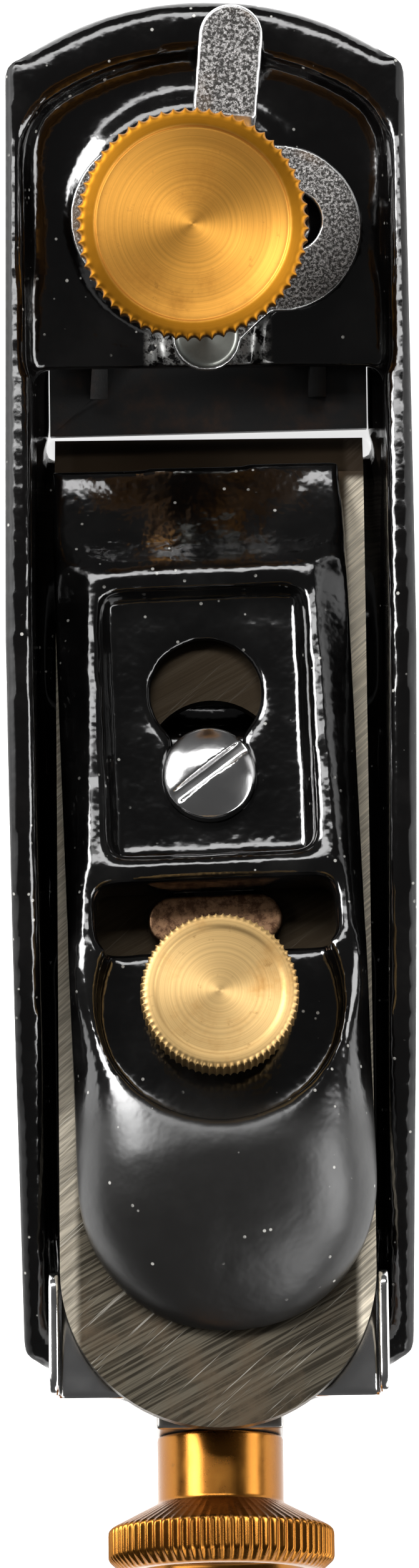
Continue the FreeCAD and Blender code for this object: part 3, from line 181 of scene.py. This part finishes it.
def black_japanning():
    """Black baked enamel over iron: dust, rubbed outer edges, a worn web, and ground sides and sole."""
    f = Finish("black_japanning", (0.006, 0.006, 0.007), 0.0, 0.2, Coat_Weight=0.35, Coat_Roughness=0.08)
    x, y, z = (f.axis(f.place, a) for a in "XYZ")
    facing_x = f.sum("ABSOLUTE", f.axis(f.facing, "X"))
    facing_z = f.axis(f.facing, "Z")
    side = f.sum("MULTIPLY", f.step(facing_x, 0.985, 0.997), f.step(f.sum("ABSOLUTE", x), *SIDE_FACE))
    side = f.sum("MULTIPLY", side, f.step(f.sum("ABSOLUTE", y), *CHEEK_ENDS))
    along_grip = f.sum("ABSOLUTE", f.sum("ADD", y, -GRIP_MIDDLE_Y))
    along_grip = f.sum("MAXIMUM", f.sum("SUBTRACT", along_grip, GRIP_STRAIGHT), 0.0)
    above_grip = f.sum("SUBTRACT", z, GRIP_MIDDLE_Z)
    squares = (f.sum("MULTIPLY", along_grip, along_grip), f.sum("MULTIPLY", above_grip, above_grip))
    from_grip = f.sum("SQRT", f.sum("ADD", *squares))
    side = f.sum("MULTIPLY", side, f.step(from_grip, *GRIP_EDGE))
    sole = f.step(z, 0.0005, 0.0001)
    ground = f.sum("MAXIMUM", side, sole)
    web = f.sum("MULTIPLY", f.step(y, *WEB_REAR), f.step(y, *WEB_FRONT))
    web = f.sum("MULTIPLY", web, f.step(f.sum("ABSOLUTE", x), *WEB_SIDE))
    worn = f.sum("MULTIPLY", web, f.step(facing_z, 0.55, 0.8))
    worn = f.sum("MULTIPLY", worn, f.step(f.noise(1.1, 5, lean=0.7), 0.42, 0.56))
    bare = f.sum("MAXIMUM", ground, worn)
    outward = f.sum("MULTIPLY", f.axis(f.facing, "X"), f.sum("SIGN", x))
    rubbed = f.sum("MULTIPLY", f.step(outward, 0.08, 0.25), f.step(f.sum("ABSOLUTE", x), *CHEEK_TOP))
    dust = f.step(f.cells(1.7), 0.13, 0.08)
    dust = f.sum("MULTIPLY", dust, f.step(f.noise(5, 3), 0.50, 0.58))
    scuff = f.noise(14, 6, lean=0.65)
    grain = f.noise(1000, 3, f.stretched((0.0003, 0.02, 0.02)))
    enamel = f.mixed(f.step(scuff, 0.45, 0.75), (0.0012, 0.0010, 0.0010), (0.005, 0.0046, 0.0044))
    enamel = f.mixed(f.sum("MULTIPLY", dust, 0.8), enamel, (0.45, 0.44, 0.41))
    iron = f.mixed(grain, (0.17, 0.165, 0.155), (0.30, 0.29, 0.275))
    iron = f.mixed(worn, iron, (0.34, 0.34, 0.33))
    f.raised(f.noise(6.0, 2), 0.40, 0.6)
    f.raised(f.noise(2.1, 2), 0.20, 0.6)
    f.raised(f.noise(0.6, 3), 0.03, 0.35)
    gloss = f.blended(rubbed, f.blended(f.noise(3.5, 5, lean=0.6), 0.05, 0.2), 0.62)
    f.put(f.shader, "Coat Weight", f.blended(rubbed, 0.35, 0.0))
    return f.done(f.mixed(bare, enamel, iron), f.blended(bare, gloss, 0.36), bare)


def cap_japanning():
    """The lever cap's enamel: the same black, handled smoother on the palm rest."""
    f = Finish("cap_japanning", (0.006, 0.006, 0.006), 0.0, 0.18, Coat_Weight=0.35, Coat_Roughness=0.07)
    dust = f.sum("MULTIPLY", f.step(f.cells(1.7), 0.13, 0.08), f.step(f.noise(5, 3), 0.5, 0.58))
    haze = f.noise(8, 6, lean=0.62)
    palm = f.step(f.axis(f.place, "Y"), *PALM_REST)
    enamel = f.mixed(f.step(haze, 0.4, 0.75), (0.0016, 0.0015, 0.0015), (0.006, 0.0058, 0.0056))
    enamel = f.mixed(f.sum("MULTIPLY", palm, 0.8), enamel, (0.009, 0.0085, 0.008))
    f.raised(f.noise(7.0, 2), 0.30, 0.5)
    f.raised(f.noise(2.4, 2), 0.22, f.blended(palm, 0.65, 0.25))
    f.raised(f.noise(0.6, 3), 0.02, 0.3)
    f.put(f.shader, "Coat Weight", f.blended(palm, 0.35, 0.0))
    gloss = f.blended(f.noise(4, 5, lean=0.6), 0.05, 0.18)
    return f.done(f.mixed(f.sum("MULTIPLY", dust, 0.8), enamel, (0.45, 0.44, 0.41)),
                  f.sum("ADD", gloss, f.sum("MULTIPLY", palm, 0.24)))


def turned_brass(name, centre, axis, bright, rough_low, ring_depth=0.012, rim=None, rim_colour=None):
    """Lathe-turned brass, brown in places; a rim in millimetres takes its own colour and brings painted shade onto the
    sides.
    """
    f = Finish(name, bright, 1.0, 0.4, Anisotropic=0.6)
    reach, away = around(f, centre, axis)
    rings = f.node("TexNoise", {"noise_dimensions": "1D"}, W=reach, Scale=3.2, Detail=4.0,
                   Roughness=0.75).outputs["Fac"]
    tarnish = f.step(f.noise(7, 6, lean=0.68), 0.48, 0.78)
    spots = f.step(f.noise(1.3, 4, lean=0.6), 0.62, 0.75)
    colour = f.mixed(f.step(rings, 0.35, 0.65), bright, tuple(0.82 * c for c in bright))
    colour = f.mixed(f.sum("MULTIPLY", tarnish, 0.6), colour, (0.34, 0.15, 0.025))
    colour = f.mixed(f.sum("MULTIPLY", spots, 0.3), colour, (0.14, 0.07, 0.02))
    if rim:
        colour = f.mixed(f.step(reach, *rim), colour, rim_colour)
        # painted shade: faces that turn away from straight up are darkened to dark brown
        facing = f.axis(f.facing, "Z")
        colour = f.mixed(f.step(facing, 0.55, 0.15), colour, (0.16, 0.07, 0.012))
    f.raised(rings, ring_depth, 0.5)
    rough = f.sum("ADD", f.blended(tarnish, rough_low, rough_low + 0.12), f.sum("MULTIPLY", spots, 0.1))
    return f.done(colour, rough, tangent=away)


def speckled_plating():
    """Old nickel plate, pitted and speckled on its flats, with a painted highlight on its rolled edges."""
    f = Finish("speckled_plating", (0.55, 0.55, 0.53), 1.0, 0.3)
    flat = f.step(f.axis(f.facing, "Z"), 0.80, 0.97)
    pits = f.step(f.noise(0.35, 6, lean=0.78), 0.38, 0.54)
    pits = f.sum("MULTIPLY", pits, flat)
    rust = f.sum("MULTIPLY", f.step(f.noise(9, 4), 0.52, 0.68), flat)
    colour = f.mixed(pits, (0.42, 0.41, 0.40), (0.030, 0.028, 0.026))
    # painted highlight: every face that is not flat and upward, the rolled edges, is painted pale grey
    colour = f.mixed(flat, (0.85, 0.85, 0.85), colour)
    colour = f.mixed(f.sum("MULTIPLY", rust, 0.45), colour, (0.16, 0.10, 0.055))
    f.raised(f.sum("SUBTRACT", 1.0, pits), 0.04, 0.6)
    return f.done(colour, f.blended(pits, 0.2, 0.55), f.blended(pits, 1.0, 0.75))


def bright_plating():
    """Chromium plate, clean but handled."""
    f = Finish("bright_plating", (0.72, 0.72, 0.73), 1.0, 0.12)
    smear = f.noise(3, 5, lean=0.6)
    f.raised(f.noise(0.9, 3), 0.006, 0.3)
    return f.done(f.mixed(smear, (0.78, 0.78, 0.79), (0.60, 0.59, 0.58)), f.blended(smear, 0.07, 0.26))


def blade_steel():
    """Ground tool steel: grinding marks across it, a brown cast, slanting scratches, painted light on the exposed side
    strips, and painted shade with patina under the cap.
    """
    f = Finish("blade_steel", (0.36, 0.33, 0.30), 1.0, 0.45)
    grind = f.noise(1000, 3, f.stretched((0.022, 0.0004, 0.022), (0, 0, math.radians(28))), 0.6)
    slant = f.noise(1000, 3, f.stretched((0.014, 0.00025, 0.014), (0, 0, math.radians(41))), 0.6)
    stain = f.noise(8, 6, lean=0.66)
    colour = f.mixed(f.step(grind, 0.40, 0.58), (0.12, 0.105, 0.078), (0.035, 0.030, 0.022))
    colour = f.mixed(f.step(stain, 0.45, 0.75), colour, (0.10, 0.075, 0.05))
    colour = f.mixed(f.step(slant, 0.62, 0.70), colour, (0.30, 0.28, 0.24))
    aside = f.sum("ABSOLUTE", f.axis(f.place, "X"))
    # painted light: the exposed side strips, which the cheeks keep in shade, are painted pale beige, the left strip
    # less than the right
    painted_light_strip = f.sum("MULTIPLY", f.step(aside, 0.0150, 0.0160), f.step(slant, 0.30, 0.62, 1.0, 0.35))
    painted_light_strip = f.sum("MULTIPLY", painted_light_strip, f.step(f.axis(f.place, "X"), 0.0, 0.001, 0.45, 1.0))
    colour = f.mixed(painted_light_strip, colour, (0.80, 0.72, 0.58))
    # painted shade with patina: the blade under the cap, away from its tail and side strips, is painted nearly black
    shade_and_patina_under_cap = f.sum("MULTIPLY", f.step(aside, 0.0158, 0.0148), f.step(f.axis(f.place, "Y"), -0.052, -0.046))
    colour = f.mixed(f.sum("MULTIPLY", shade_and_patina_under_cap, 0.94), colour, (0.022, 0.016, 0.010))
    bevel = f.step(f.axis(f.place, "Y"), (EDGE_Y - 5.2) * MM, (EDGE_Y - 4.2) * MM)
    colour = f.mixed(bevel, colour, (0.05, 0.035, 0.022))
    f.raised(grind, 0.02, 0.7)
    rough = f.blended(painted_light_strip, f.blended(stain, 0.38, 0.55), 0.7)
    return f.done(colour, rough, f.blended(painted_light_strip, 1.0, 0.55))


def ground_iron():
    """The sliding toe: ground underneath, dull and rust-brown above."""
    f = Finish("ground_iron", (0.2, 0.18, 0.16), 1.0, 0.45)
    upper = f.step(f.axis(f.facing, "Z"), -0.6, -0.9, 1.0, 0.0)
    rust = f.noise(5, 6, lean=0.7)
    dull = f.mixed(f.step(rust, 0.45, 0.75), (0.006, 0.006, 0.006), (0.03, 0.014, 0.007))
    grain = f.noise(1000, 3, f.stretched((0.0003, 0.02, 0.02)))
    f.raised(f.noise(0.7, 5, lean=0.7), 0.05, 0.5)
    return f.done(f.mixed(upper, f.mixed(grain, (0.30, 0.29, 0.28), (0.46, 0.45, 0.43)), dull),
                  f.blended(upper, 0.32, 0.4), f.blended(upper, 1.0, 0.1))


def plain_steel():
    """Turned and milled steel, slightly oily."""
    f = Finish("plain_steel", (0.42, 0.41, 0.39), 1.0, 0.3)
    patch = f.noise(2.2, 5, lean=0.6)
    f.raised(f.noise(0.35, 3), 0.006, 0.4)
    return f.done(f.mixed(patch, (0.50, 0.49, 0.47), (0.28, 0.26, 0.24)), f.blended(patch, 0.22, 0.42))


def worn_pad():
    """The clamp pad's steel, browned by rust."""
    f = Finish("worn_pad", (0.2, 0.12, 0.07), 1.0, 0.4)
    bloom = f.noise(1.4, 6, lean=0.75)
    f.raised(bloom, 0.03, 0.5)
    colour = f.mixed(f.step(bloom, 0.4, 0.62), (0.26, 0.15, 0.085), (0.07, 0.035, 0.02))
    return f.done(colour, f.blended(bloom, 0.3, 0.55))


def stud_steel():
    """The lever pivot's flat head: dull grey with a fine green cast and turning rings."""
    f = Finish("stud_steel", (0.36, 0.38, 0.35), 1.0, 0.36, Anisotropic=0.5)
    reach, away = around(f, (LEVER_PIVOT[0] * MM, LEVER_PIVOT[1] * MM, 0), (0, 0, 1))
    rings = f.node("TexNoise", {"noise_dimensions": "1D"}, W=reach, Scale=6.0, Detail=3.0).outputs["Fac"]
    f.raised(rings, 0.008, 0.5)
    return f.done(f.mixed(f.noise(1.6, 5, lean=0.65), (0.50, 0.52, 0.48), (0.25, 0.26, 0.23)), tangent=away)


def pale_paper():
    f = Finish("pale_paper", (0.9, 0.9, 0.9), 0.0, 0.9, Emission_Color=(1, 1, 1, 1), Emission_Strength=0.75)
    return f.done(f.mixed(f.noise(40, 3), (0.90, 0.90, 0.895), (0.92, 0.92, 0.915)))


# ---- making pieces ----


def shown(name, mesh):
    piece = bpy.data.objects.new(name, mesh)
    bpy.context.scene.collection.objects.link(piece)
    return piece


def merged_copy(node, name):
    """The CAD node's mesh as a piece of its own, with its loose triangles joined."""
    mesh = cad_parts[node].data.copy()
    mesh.name = name
    mesh.materials.clear()
    work = bmesh.new()
    work.from_mesh(mesh)
    bmesh.ops.remove_doubles(work, verts=work.verts, dist=0.000002)
    work.to_mesh(mesh)
    work.free()
    return shown(name, mesh)


def bake(piece):
    """Applies the piece's modifiers, so that none is left on it."""
    bpy.context.view_layer.update()
    mesh = bpy.data.meshes.new_from_object(piece.evaluated_get(bpy.context.evaluated_depsgraph_get()))
    mesh.name = piece.name
    piece.modifiers.clear()
    piece.data = mesh


def relax(mesh, rounds, looseness=None):
    """Moves each point towards the middle of its neighbours, so that corners round over and flats stay flat."""
    count = len(mesh.vertices)
    place = np.empty(count * 3)
    mesh.vertices.foreach_get("co", place)
    place = place.reshape(-1, 3)
    ends = np.empty(len(mesh.edges) * 2, int)
    mesh.edges.foreach_get("vertices", ends)
    one, other = ends[::2], ends[1::2]
    shares = np.bincount(ends, minlength=count)
    pull = 1.0 if looseness is None else looseness(place / MM)[:, None]
    for _ in range(rounds):
        middle = np.empty_like(place)
        for a in range(3):
            total = np.bincount(one, place[other, a], count) + np.bincount(other, place[one, a], count)
            middle[:, a] = total / shares
        place += pull * (middle - place)
    mesh.vertices.foreach_set("co", place.ravel())
    mesh.update()


def finished(piece, material, body, *replaced):
    """Gives a piece its finish, smooth shading and the body that it moves with."""
    piece.data.materials.clear()
    piece.data.materials.append(material)
    piece.data.shade_smooth()
    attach(piece, body)
    if replaced:
        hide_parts(*replaced)
    return piece


def reshaped(mesh, rule):
    """Moves every point of a mesh by a rule that works on an array of places in millimetres."""
    place = np.empty(len(mesh.vertices) * 3)
    mesh.vertices.foreach_get("co", place)
    mesh.vertices.foreach_set("co", (rule(place.reshape(-1, 3) / MM) * MM).ravel())
    mesh.update()


def softened(node, name, grain, rounds, turn=UPRIGHT, looseness=None, rule=None):
    """A copy of a CAD node with an even skin of this grain in millimetres, its corners rounded over."""
    piece = merged_copy(node, name)
    piece.data.transform(turn.inverted())
    skin = piece.modifiers.new("Skin", "REMESH")
    skin.mode = "VOXEL"
    skin.voxel_size = grain * MM
    bake(piece)
    piece.data.transform(turn)
    if rule:
        reshaped(piece.data, rule)
    relax(piece.data, rounds, looseness)
    return piece


def smooth_step(value, low, high):
    share = np.clip((value - low) / (high - low), 0, 1)
    return share * share * (3 - 2 * share)


def eased(points, corner):
    """A turned outline with its corners rounded: points are (radius, height, tooth share)."""
    path = [points[0]]
    for before, here, after in zip(points, points[1:], points[2:]):
        a, b, c = (np.array(p, float) for p in (before, here, after))
        back = min(corner, np.linalg.norm((a - b)[:2]) * 0.45)
        ahead = min(corner, np.linalg.norm((c - b)[:2]) * 0.45)
        start = b + (a - b) * back / np.linalg.norm((a - b)[:2])
        end = b + (c - b) * ahead / np.linalg.norm((c - b)[:2])
        for t in (0, 0.25, 0.5, 0.75, 1):
            path.append(tuple((1 - t) ** 2 * start + 2 * t * (1 - t) * b + t * t * end))
    path.append(points[-1])
    return path


def turned_blank(name, outline, base, axis, columns):
    """A closed solid of revolution about an axis, carrying its angle, outward direction and tooth share."""
    axis = axis.normalized()
    right = axis.orthogonal().normalized()
    left = axis.cross(right)
    angles = np.linspace(0, 2 * math.pi, columns, endpoint=False)
    outward = np.outer(np.cos(angles), right) + np.outer(np.sin(angles), left)
    points, faces, turn, aim, share = [], [], [], [], []
    rows = []
    for radius, height, teeth in outline:
        middle = np.array(base) + np.array(axis) * height * MM
        first = len(points)
        if radius < 1e-6:
            points.append(middle)
            turn.append(0.0)
            aim.append((0, 0, 0))
            share.append(0.0)
            rows.append([first] * columns)
            continue
        points.extend(middle + outward * radius * MM)
        turn.extend(angles)
        aim.extend(outward)
        share.extend([teeth] * columns)
        rows.append(list(range(first, first + columns)))
    for lower, upper in zip(rows, rows[1:]):
        for i in range(columns):
            j = (i + 1) % columns
            corner = [lower[i], lower[j], upper[j], upper[i]]
            faces.append(list(dict.fromkeys(corner)))
    mesh = bpy.data.meshes.new(name)
    mesh.from_pydata([tuple(p) for p in points], [], faces)
    work = bmesh.new()
    work.from_mesh(mesh)
    bmesh.ops.recalc_face_normals(work, faces=work.faces)
    work.to_mesh(mesh)
    work.free()
    mesh.attributes.new("angle", "FLOAT", "POINT").data.foreach_set("value", turn)
    mesh.attributes.new("teeth", "FLOAT", "POINT").data.foreach_set("value", share)
    mesh.attributes.new("outward", "FLOAT_VECTOR", "POINT").data.foreach_set("vector", np.ravel(aim))
    return shown(name, mesh)


def cut_teeth(piece, count, depth, material):
    """Geometry Nodes cut this many flutes round the piece, as deep as its tooth share allows."""
    tree = bpy.data.node_groups.new(piece.name + "_teeth", "GeometryNodeTree")
    face = tree.interface
    face.new_socket("Geometry", in_out="INPUT", socket_type="NodeSocketGeometry")
    count_socket = face.new_socket("Tooth count", in_out="INPUT", socket_type="NodeSocketFloat")
    depth_socket = face.new_socket("Tooth depth", in_out="INPUT", socket_type="NodeSocketFloat")
    face.new_socket("Geometry", in_out="OUTPUT", socket_type="NodeSocketGeometry")

    def node(kind, **settings):
        made = tree.nodes.new(kind)
        for key, value in settings.items():
            setattr(made, key, value)
        return made

    def named(name, kind):
        reader = node("GeometryNodeInputNamedAttribute", data_type=kind)
        reader.inputs["Name"].default_value = name
        return reader.outputs["Attribute"]

    def link(a, b):
        tree.links.new(a, b)

    def times(a, b, operation="MULTIPLY"):
        made = node("ShaderNodeMath", operation=operation)
        for socket, value in zip(made.inputs, (a, b)):
            if isinstance(value, bpy.types.NodeSocket):
                link(value, socket)
            else:
                socket.default_value = value
        return made.outputs[0]

    start = node("NodeGroupInput")
    end = node("NodeGroupOutput")
    half_turns = times(times(named("angle", "FLOAT"), start.outputs["Tooth count"]), 0.5)
    dip = times(times(half_turns, 0, "SINE"), 0, "ABSOLUTE")
    bite = times(times(dip, start.outputs["Tooth depth"]), named("teeth", "FLOAT"))
    shift = node("ShaderNodeVectorMath", operation="SCALE")
    link(named("outward", "FLOAT_VECTOR"), shift.inputs[0])
    link(times(bite, -1.0), shift.inputs["Scale"])
    move = node("GeometryNodeSetPosition")
    link(start.outputs["Geometry"], move.inputs["Geometry"])
    link(shift.outputs[0], move.inputs["Offset"])
    real = node("GeometryNodeRealizeInstances")
    link(move.outputs[0], real.inputs[0])
    paint = node("GeometryNodeSetMaterial")
    paint.inputs["Material"].default_value = material
    link(real.outputs[0], paint.inputs["Geometry"])
    link(paint.outputs[0], end.inputs["Geometry"])
    modifier = piece.modifiers.new("Teeth", "NODES")
    modifier.node_group = tree
    modifier[count_socket.identifier] = float(count)
    modifier[depth_socket.identifier] = depth * MM
    bake(piece)


# ---- the finishes of this plane ----

japanning = black_japanning()
cap_enamel = cap_japanning()
plating = speckled_plating()
chrome = bright_plating()
blade = blade_steel()
toe_iron = ground_iron()
steel = plain_steel()
pivot_steel = stud_steel()
pad_steel = worn_pad()

knob_foot = Vector((FRONT_KNOB[0] * MM, FRONT_KNOB[1] * MM, 0))
lock_foot = on_cap(LOCK_KNOB_U - CAP_SCREW_U, 0)
nut_foot = on_bed(0, -STUD_DROP)
knob_brass = turned_brass("finger_knob_brass", knob_foot, Vector((0, 0, 1)), (0.66, 0.32, 0.058), 0.52,
                          rim=(10.6, 11.0), rim_colour=(0.36, 0.15, 0.011))
lock_brass = turned_brass("lock_knob_brass", lock_foot, BED_NORMAL, (0.57, 0.38, 0.16), 0.52, 0.005)
nut_brass = turned_brass("depth_nut_brass", nut_foot, BED_SLOPE, (0.28, 0.11, 0.019), 0.27)


def cast_body():
    """The iron casting, softened least at its ground sole and outer faces, and most in the deck's pocket."""
    def looseness(place):
        above_sole = np.clip((place[:, 2] - 0.6) / 1.5, 0, 1)
        inner = 1 - smooth_step(np.abs(place[:, 0]), 20.3, 21.2)
        pocket = smooth_step(place[:, 1], 46, 50) * smooth_step(place[:, 2], 6.5, 8)
        return 0.1 + (0.3 * above_sole + 0.6 * pocket) * inner

    piece = softened("body_casting", "iron_body", 0.58, 14, looseness=looseness)
    return finished(piece, japanning, "root", "body_casting")


def along_cap(place):
    """Places in millimetres as distance up the bed, height above the bed, and distance across the cap's own line."""
    c, s = math.cos(BED_ANGLE), math.sin(BED_ANGLE)
    u = -(place[:, 1] - EDGE_Y) * c + place[:, 2] * s
    v = (place[:, 1] - EDGE_Y) * s + place[:, 2] * c
    c, s = math.cos(CAP_YAW), math.sin(CAP_YAW)
    along = CAP_SCREW_U + (u - CAP_SCREW_U) * c + (place[:, 0] - CAP_SCREW_X) * s
    across = (place[:, 0] - CAP_SCREW_X) * c - (u - CAP_SCREW_U) * s
    return along, v, across


def crowned_cap(place):
    """Steps the cap down outside its raised frame, and crowns the palm rest across."""
    under, half, tail_centre = 2.3, 16.5, 86.2
    along, v, across = along_cap(place)
    aside = np.abs(across)
    frame_half = np.interp(along, (17, 60), (13.4, 15.4))
    in_frame = smooth_step(along, 15.5, 18.5) * (1 - smooth_step(along, 56, 66))
    outside = smooth_step(aside, frame_half - 0.2, frame_half + 0.9) * in_frame
    lowered = v - outside * np.clip(v - 6.2, 0, 2.0)
    width = np.sqrt(np.clip(half ** 2 - np.clip(along - tail_centre, 0, half) ** 2, 0.5, None)) + 0.25
    reach = np.clip(aside / width, 0, 1)
    power = np.interp(along, (60, 84), (5.0, 2.3))
    crown = np.sqrt(np.clip(1 - reach ** power, 0, 1)) * 0.86 + 0.14
    crown = 1 + (crown - 1) * smooth_step(along, 58, 74)
    lowered = under + (lowered - under) * crown
    moved = place + (lowered - v)[:, None] * np.array(BED_NORMAL)
    rim = smooth_step(aside, 7.5, 9) * (1 - smooth_step(aside, 12.6, 13.4)) * in_frame * smooth_step(v, 4.5, 6)
    side = np.sign(across)
    moved[:, 0] += rim * (0.14 * np.sin(1.3 * along + side) + 0.09 * np.sin(2.9 * along + 2.2 * side))
    return moved


def cast_cap():
    """The lever cap, whose enamel is thickest, and so roundest, over its raised frame."""
    def looseness(place):
        along, v, across = along_cap(place)
        return 0.41 + 0.59 * smooth_step(along, 12, 15) * (1 - smooth_step(along, 57, 60)) * smooth_step(v, 4, 5)

    piece = softened("lever_cap", "cast_lever_cap", 0.36, 34, BED_TURN, looseness, crowned_cap)
    return finished(piece, cap_enamel, "lever_cap", "lever_cap")


def front_knob():
    outline = [(0, 30.35, 0), (4.5, 30.45, 0), (8.6, 30.8, 0), (10.3, 31.2, 0), (10.55, 31.2, 0), (10.7, 31.55, 0),
               (12.1, 31.6, 0.25), (12.75, 31.0, 1), (12.75, 27.7, 1), (12.2, 27.0, 0.25), (10.5, 26.5, 0),
               (7.4, 23.6, 0), (6.0, 20.4, 0), (5.8, 17.4, 0), (6.2, 14.2, 0), (7.0, 12.8, 0), (7.0, 11.62, 0),
               (3.1, 11.62, 0), (3.1, 20, 0), (0, 20, 0)]
    piece = turned_blank("scalloped_finger_knob", eased(outline, 0.45), knob_foot, Vector((0, 0, 1)), 600)
    cut_teeth(piece, 60, 0.45, knob_brass)
    return finished(piece, knob_brass, "front_knob", "finger_knob")


def lock_knob():
    outline = [(0, 16.75, 0), (6.9, 16.75, 0), (7.2, 16.98, 0), (8.15, 16.98, 0.2), (8.7, 16.5, 1), (8.7, 12.1, 1),
               (8.1, 11.5, 0.2), (5.2, 11.5, 0), (4.6, 11.0, 0), (4.6, 8.1, 0), (3.1, 8.1, 0), (3.1, 12, 0), (0, 12, 0)]
    piece = turned_blank("knurled_lock_knob", eased(outline, 0.3), lock_foot, BED_NORMAL, 560)
    cut_teeth(piece, 70, 0.25, lock_brass)
    return finished(piece, lock_brass, "lock_knob", "cap_lock_knob")


def rear_nut():
    outline = [(0, 125.65, 0), (8.6, 125.65, 0), (9.2, 127.3, 0), (9.6, 127.58, 0), (11.0, 127.58, 0.1),
               (12.55, 126.2, 1), (12.55, 123.1, 1), (12.2, 122.7, 0.4), (7.0, 120.0, 0), (7.0, 112.6, 0),
               (4.0, 112.6, 0), (4.0, 110.8, 0), (5.2, 110.8, 0), (5.2, 109.4, 0), (3.1, 109.4, 0),
               (3.1, 121.5, 0), (0, 121.5, 0)]
    piece = turned_blank("fluted_depth_nut", eased(outline, 0.4), nut_foot, BED_SLOPE, 576)
    cut_teeth(piece, 72, 0.5, nut_brass)
    return finished(piece, nut_brass, "depth_nut", "depth_nut")


cast_body()
cast_cap()
front_knob()
lock_knob()
rear_nut()
for node, name, grain, rounds, turn, finish, body in (
        ("throat_lever", "rolled_throat_lever", 0.24, 4, UPRIGHT, plating, "throat_lever"),
        ("throat_lever_pivot", "flat_headed_pivot", 0.13, 3, UPRIGHT, pivot_steel, "root"),
        ("cap_screw", "slotted_cap_screw", 0.14, 3, BED_TURN, chrome, "cap_screw"),
        ("clamp_pad", "pressed_clamp_pad", 0.16, 3, BED_TURN, pad_steel, "clamp_pad"),
        ("lateral_lever", "folded_lateral_lever", 0.24, 3, BED_TURN, chrome, "cutter"),
        ("adjusting_slide", "bent_adjusting_slide", 0.24, 2, BED_TURN, steel, "feed_slide")):
    finished(softened(node, name, grain, rounds, turn), finish, body, node)

# Ground pieces keep the CAD node's own sharp edges.
for node, name, finish, body in (("mouth_plate", "ground_mouth_plate", toe_iron, "sliding_toe"),
                                 ("cutter", "ground_blade", blade, "cutter")):
    piece = finished(merged_copy(node, name), finish, body, node)
    piece.data.set_sharp_from_angle(angle=GROUND_EDGE)

for node in ("finger_knob_stem", "cap_lock_screw", "lateral_pivot_rivet", "feed_key", "depth_stud"):
    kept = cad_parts[node]
    kept.data.materials.clear()
    kept.data.materials.append(steel)

# ---- floor, light and camera ----


def floor_sheet():
    half = 3.0
    mesh = bpy.data.meshes.new("paper_floor")
    below = -0.0001
    corners = [(-half, -half, below), (half, -half, below), (half, half, below), (-half, half, below)]
    mesh.from_pydata(corners, [], [(0, 1, 2, 3)])
    mesh.materials.append(pale_paper())
    shown("paper_floor", mesh)


def soft_box(name, bearing, rise, reach, size, radiance):
    """A rectangular studio light: bearing and rise in degrees, reach and size in metres."""
    turn, tilt = math.radians(bearing), math.radians(rise)
    place = Vector((math.cos(turn) * math.cos(tilt), math.sin(turn) * math.cos(tilt), math.sin(tilt))) * reach
    lamp = bpy.data.lights.new(name, "AREA")
    lamp.shape = "RECTANGLE"
    lamp.size, lamp.size_y = size
    lamp.energy = radiance * math.pi * size[0] * size[1]
    box = bpy.data.objects.new(name, lamp)
    bpy.context.scene.collection.objects.link(box)
    box.location = place
    box.rotation_euler = (-place).to_track_quat("-Z", "Y").to_euler()


def studio():
    world = bpy.data.worlds.new("studio")
    bpy.context.scene.world = world
    world.use_nodes = True
    world.node_tree.nodes["Background"].inputs["Color"].default_value = (1, 1, 1, 1)
    world.node_tree.nodes["Background"].inputs["Strength"].default_value = 0.08
    soft_box("key_box", 150, 34, 0.9, (0.5, 0.36), 22)
    soft_box("side_box", -10, 28, 0.9, (0.8, 0.36), 9)
    soft_box("nose_box", 96, 47, 0.95, (0.8, 0.22), 9)
    soft_box("tail_box", -58, 30, 0.95, (0.5, 0.36), 5)


def camera():
    lens = bpy.data.cameras.new("overhead")
    lens.sensor_width = 36
    lens.lens = 161.8
    lens.clip_start, lens.clip_end = 0.05, 10
    eye = bpy.data.objects.new("overhead", lens)
    bpy.context.scene.collection.objects.link(eye)
    eye.location = (-0.00035, -0.0085, 0.8)
    eye.rotation_euler = (0, 0, math.radians(-0.66))
    bpy.context.scene.camera = eye


floor_sheet()
studio()
camera()
bpy.context.scene.view_settings.view_transform = "Standard"
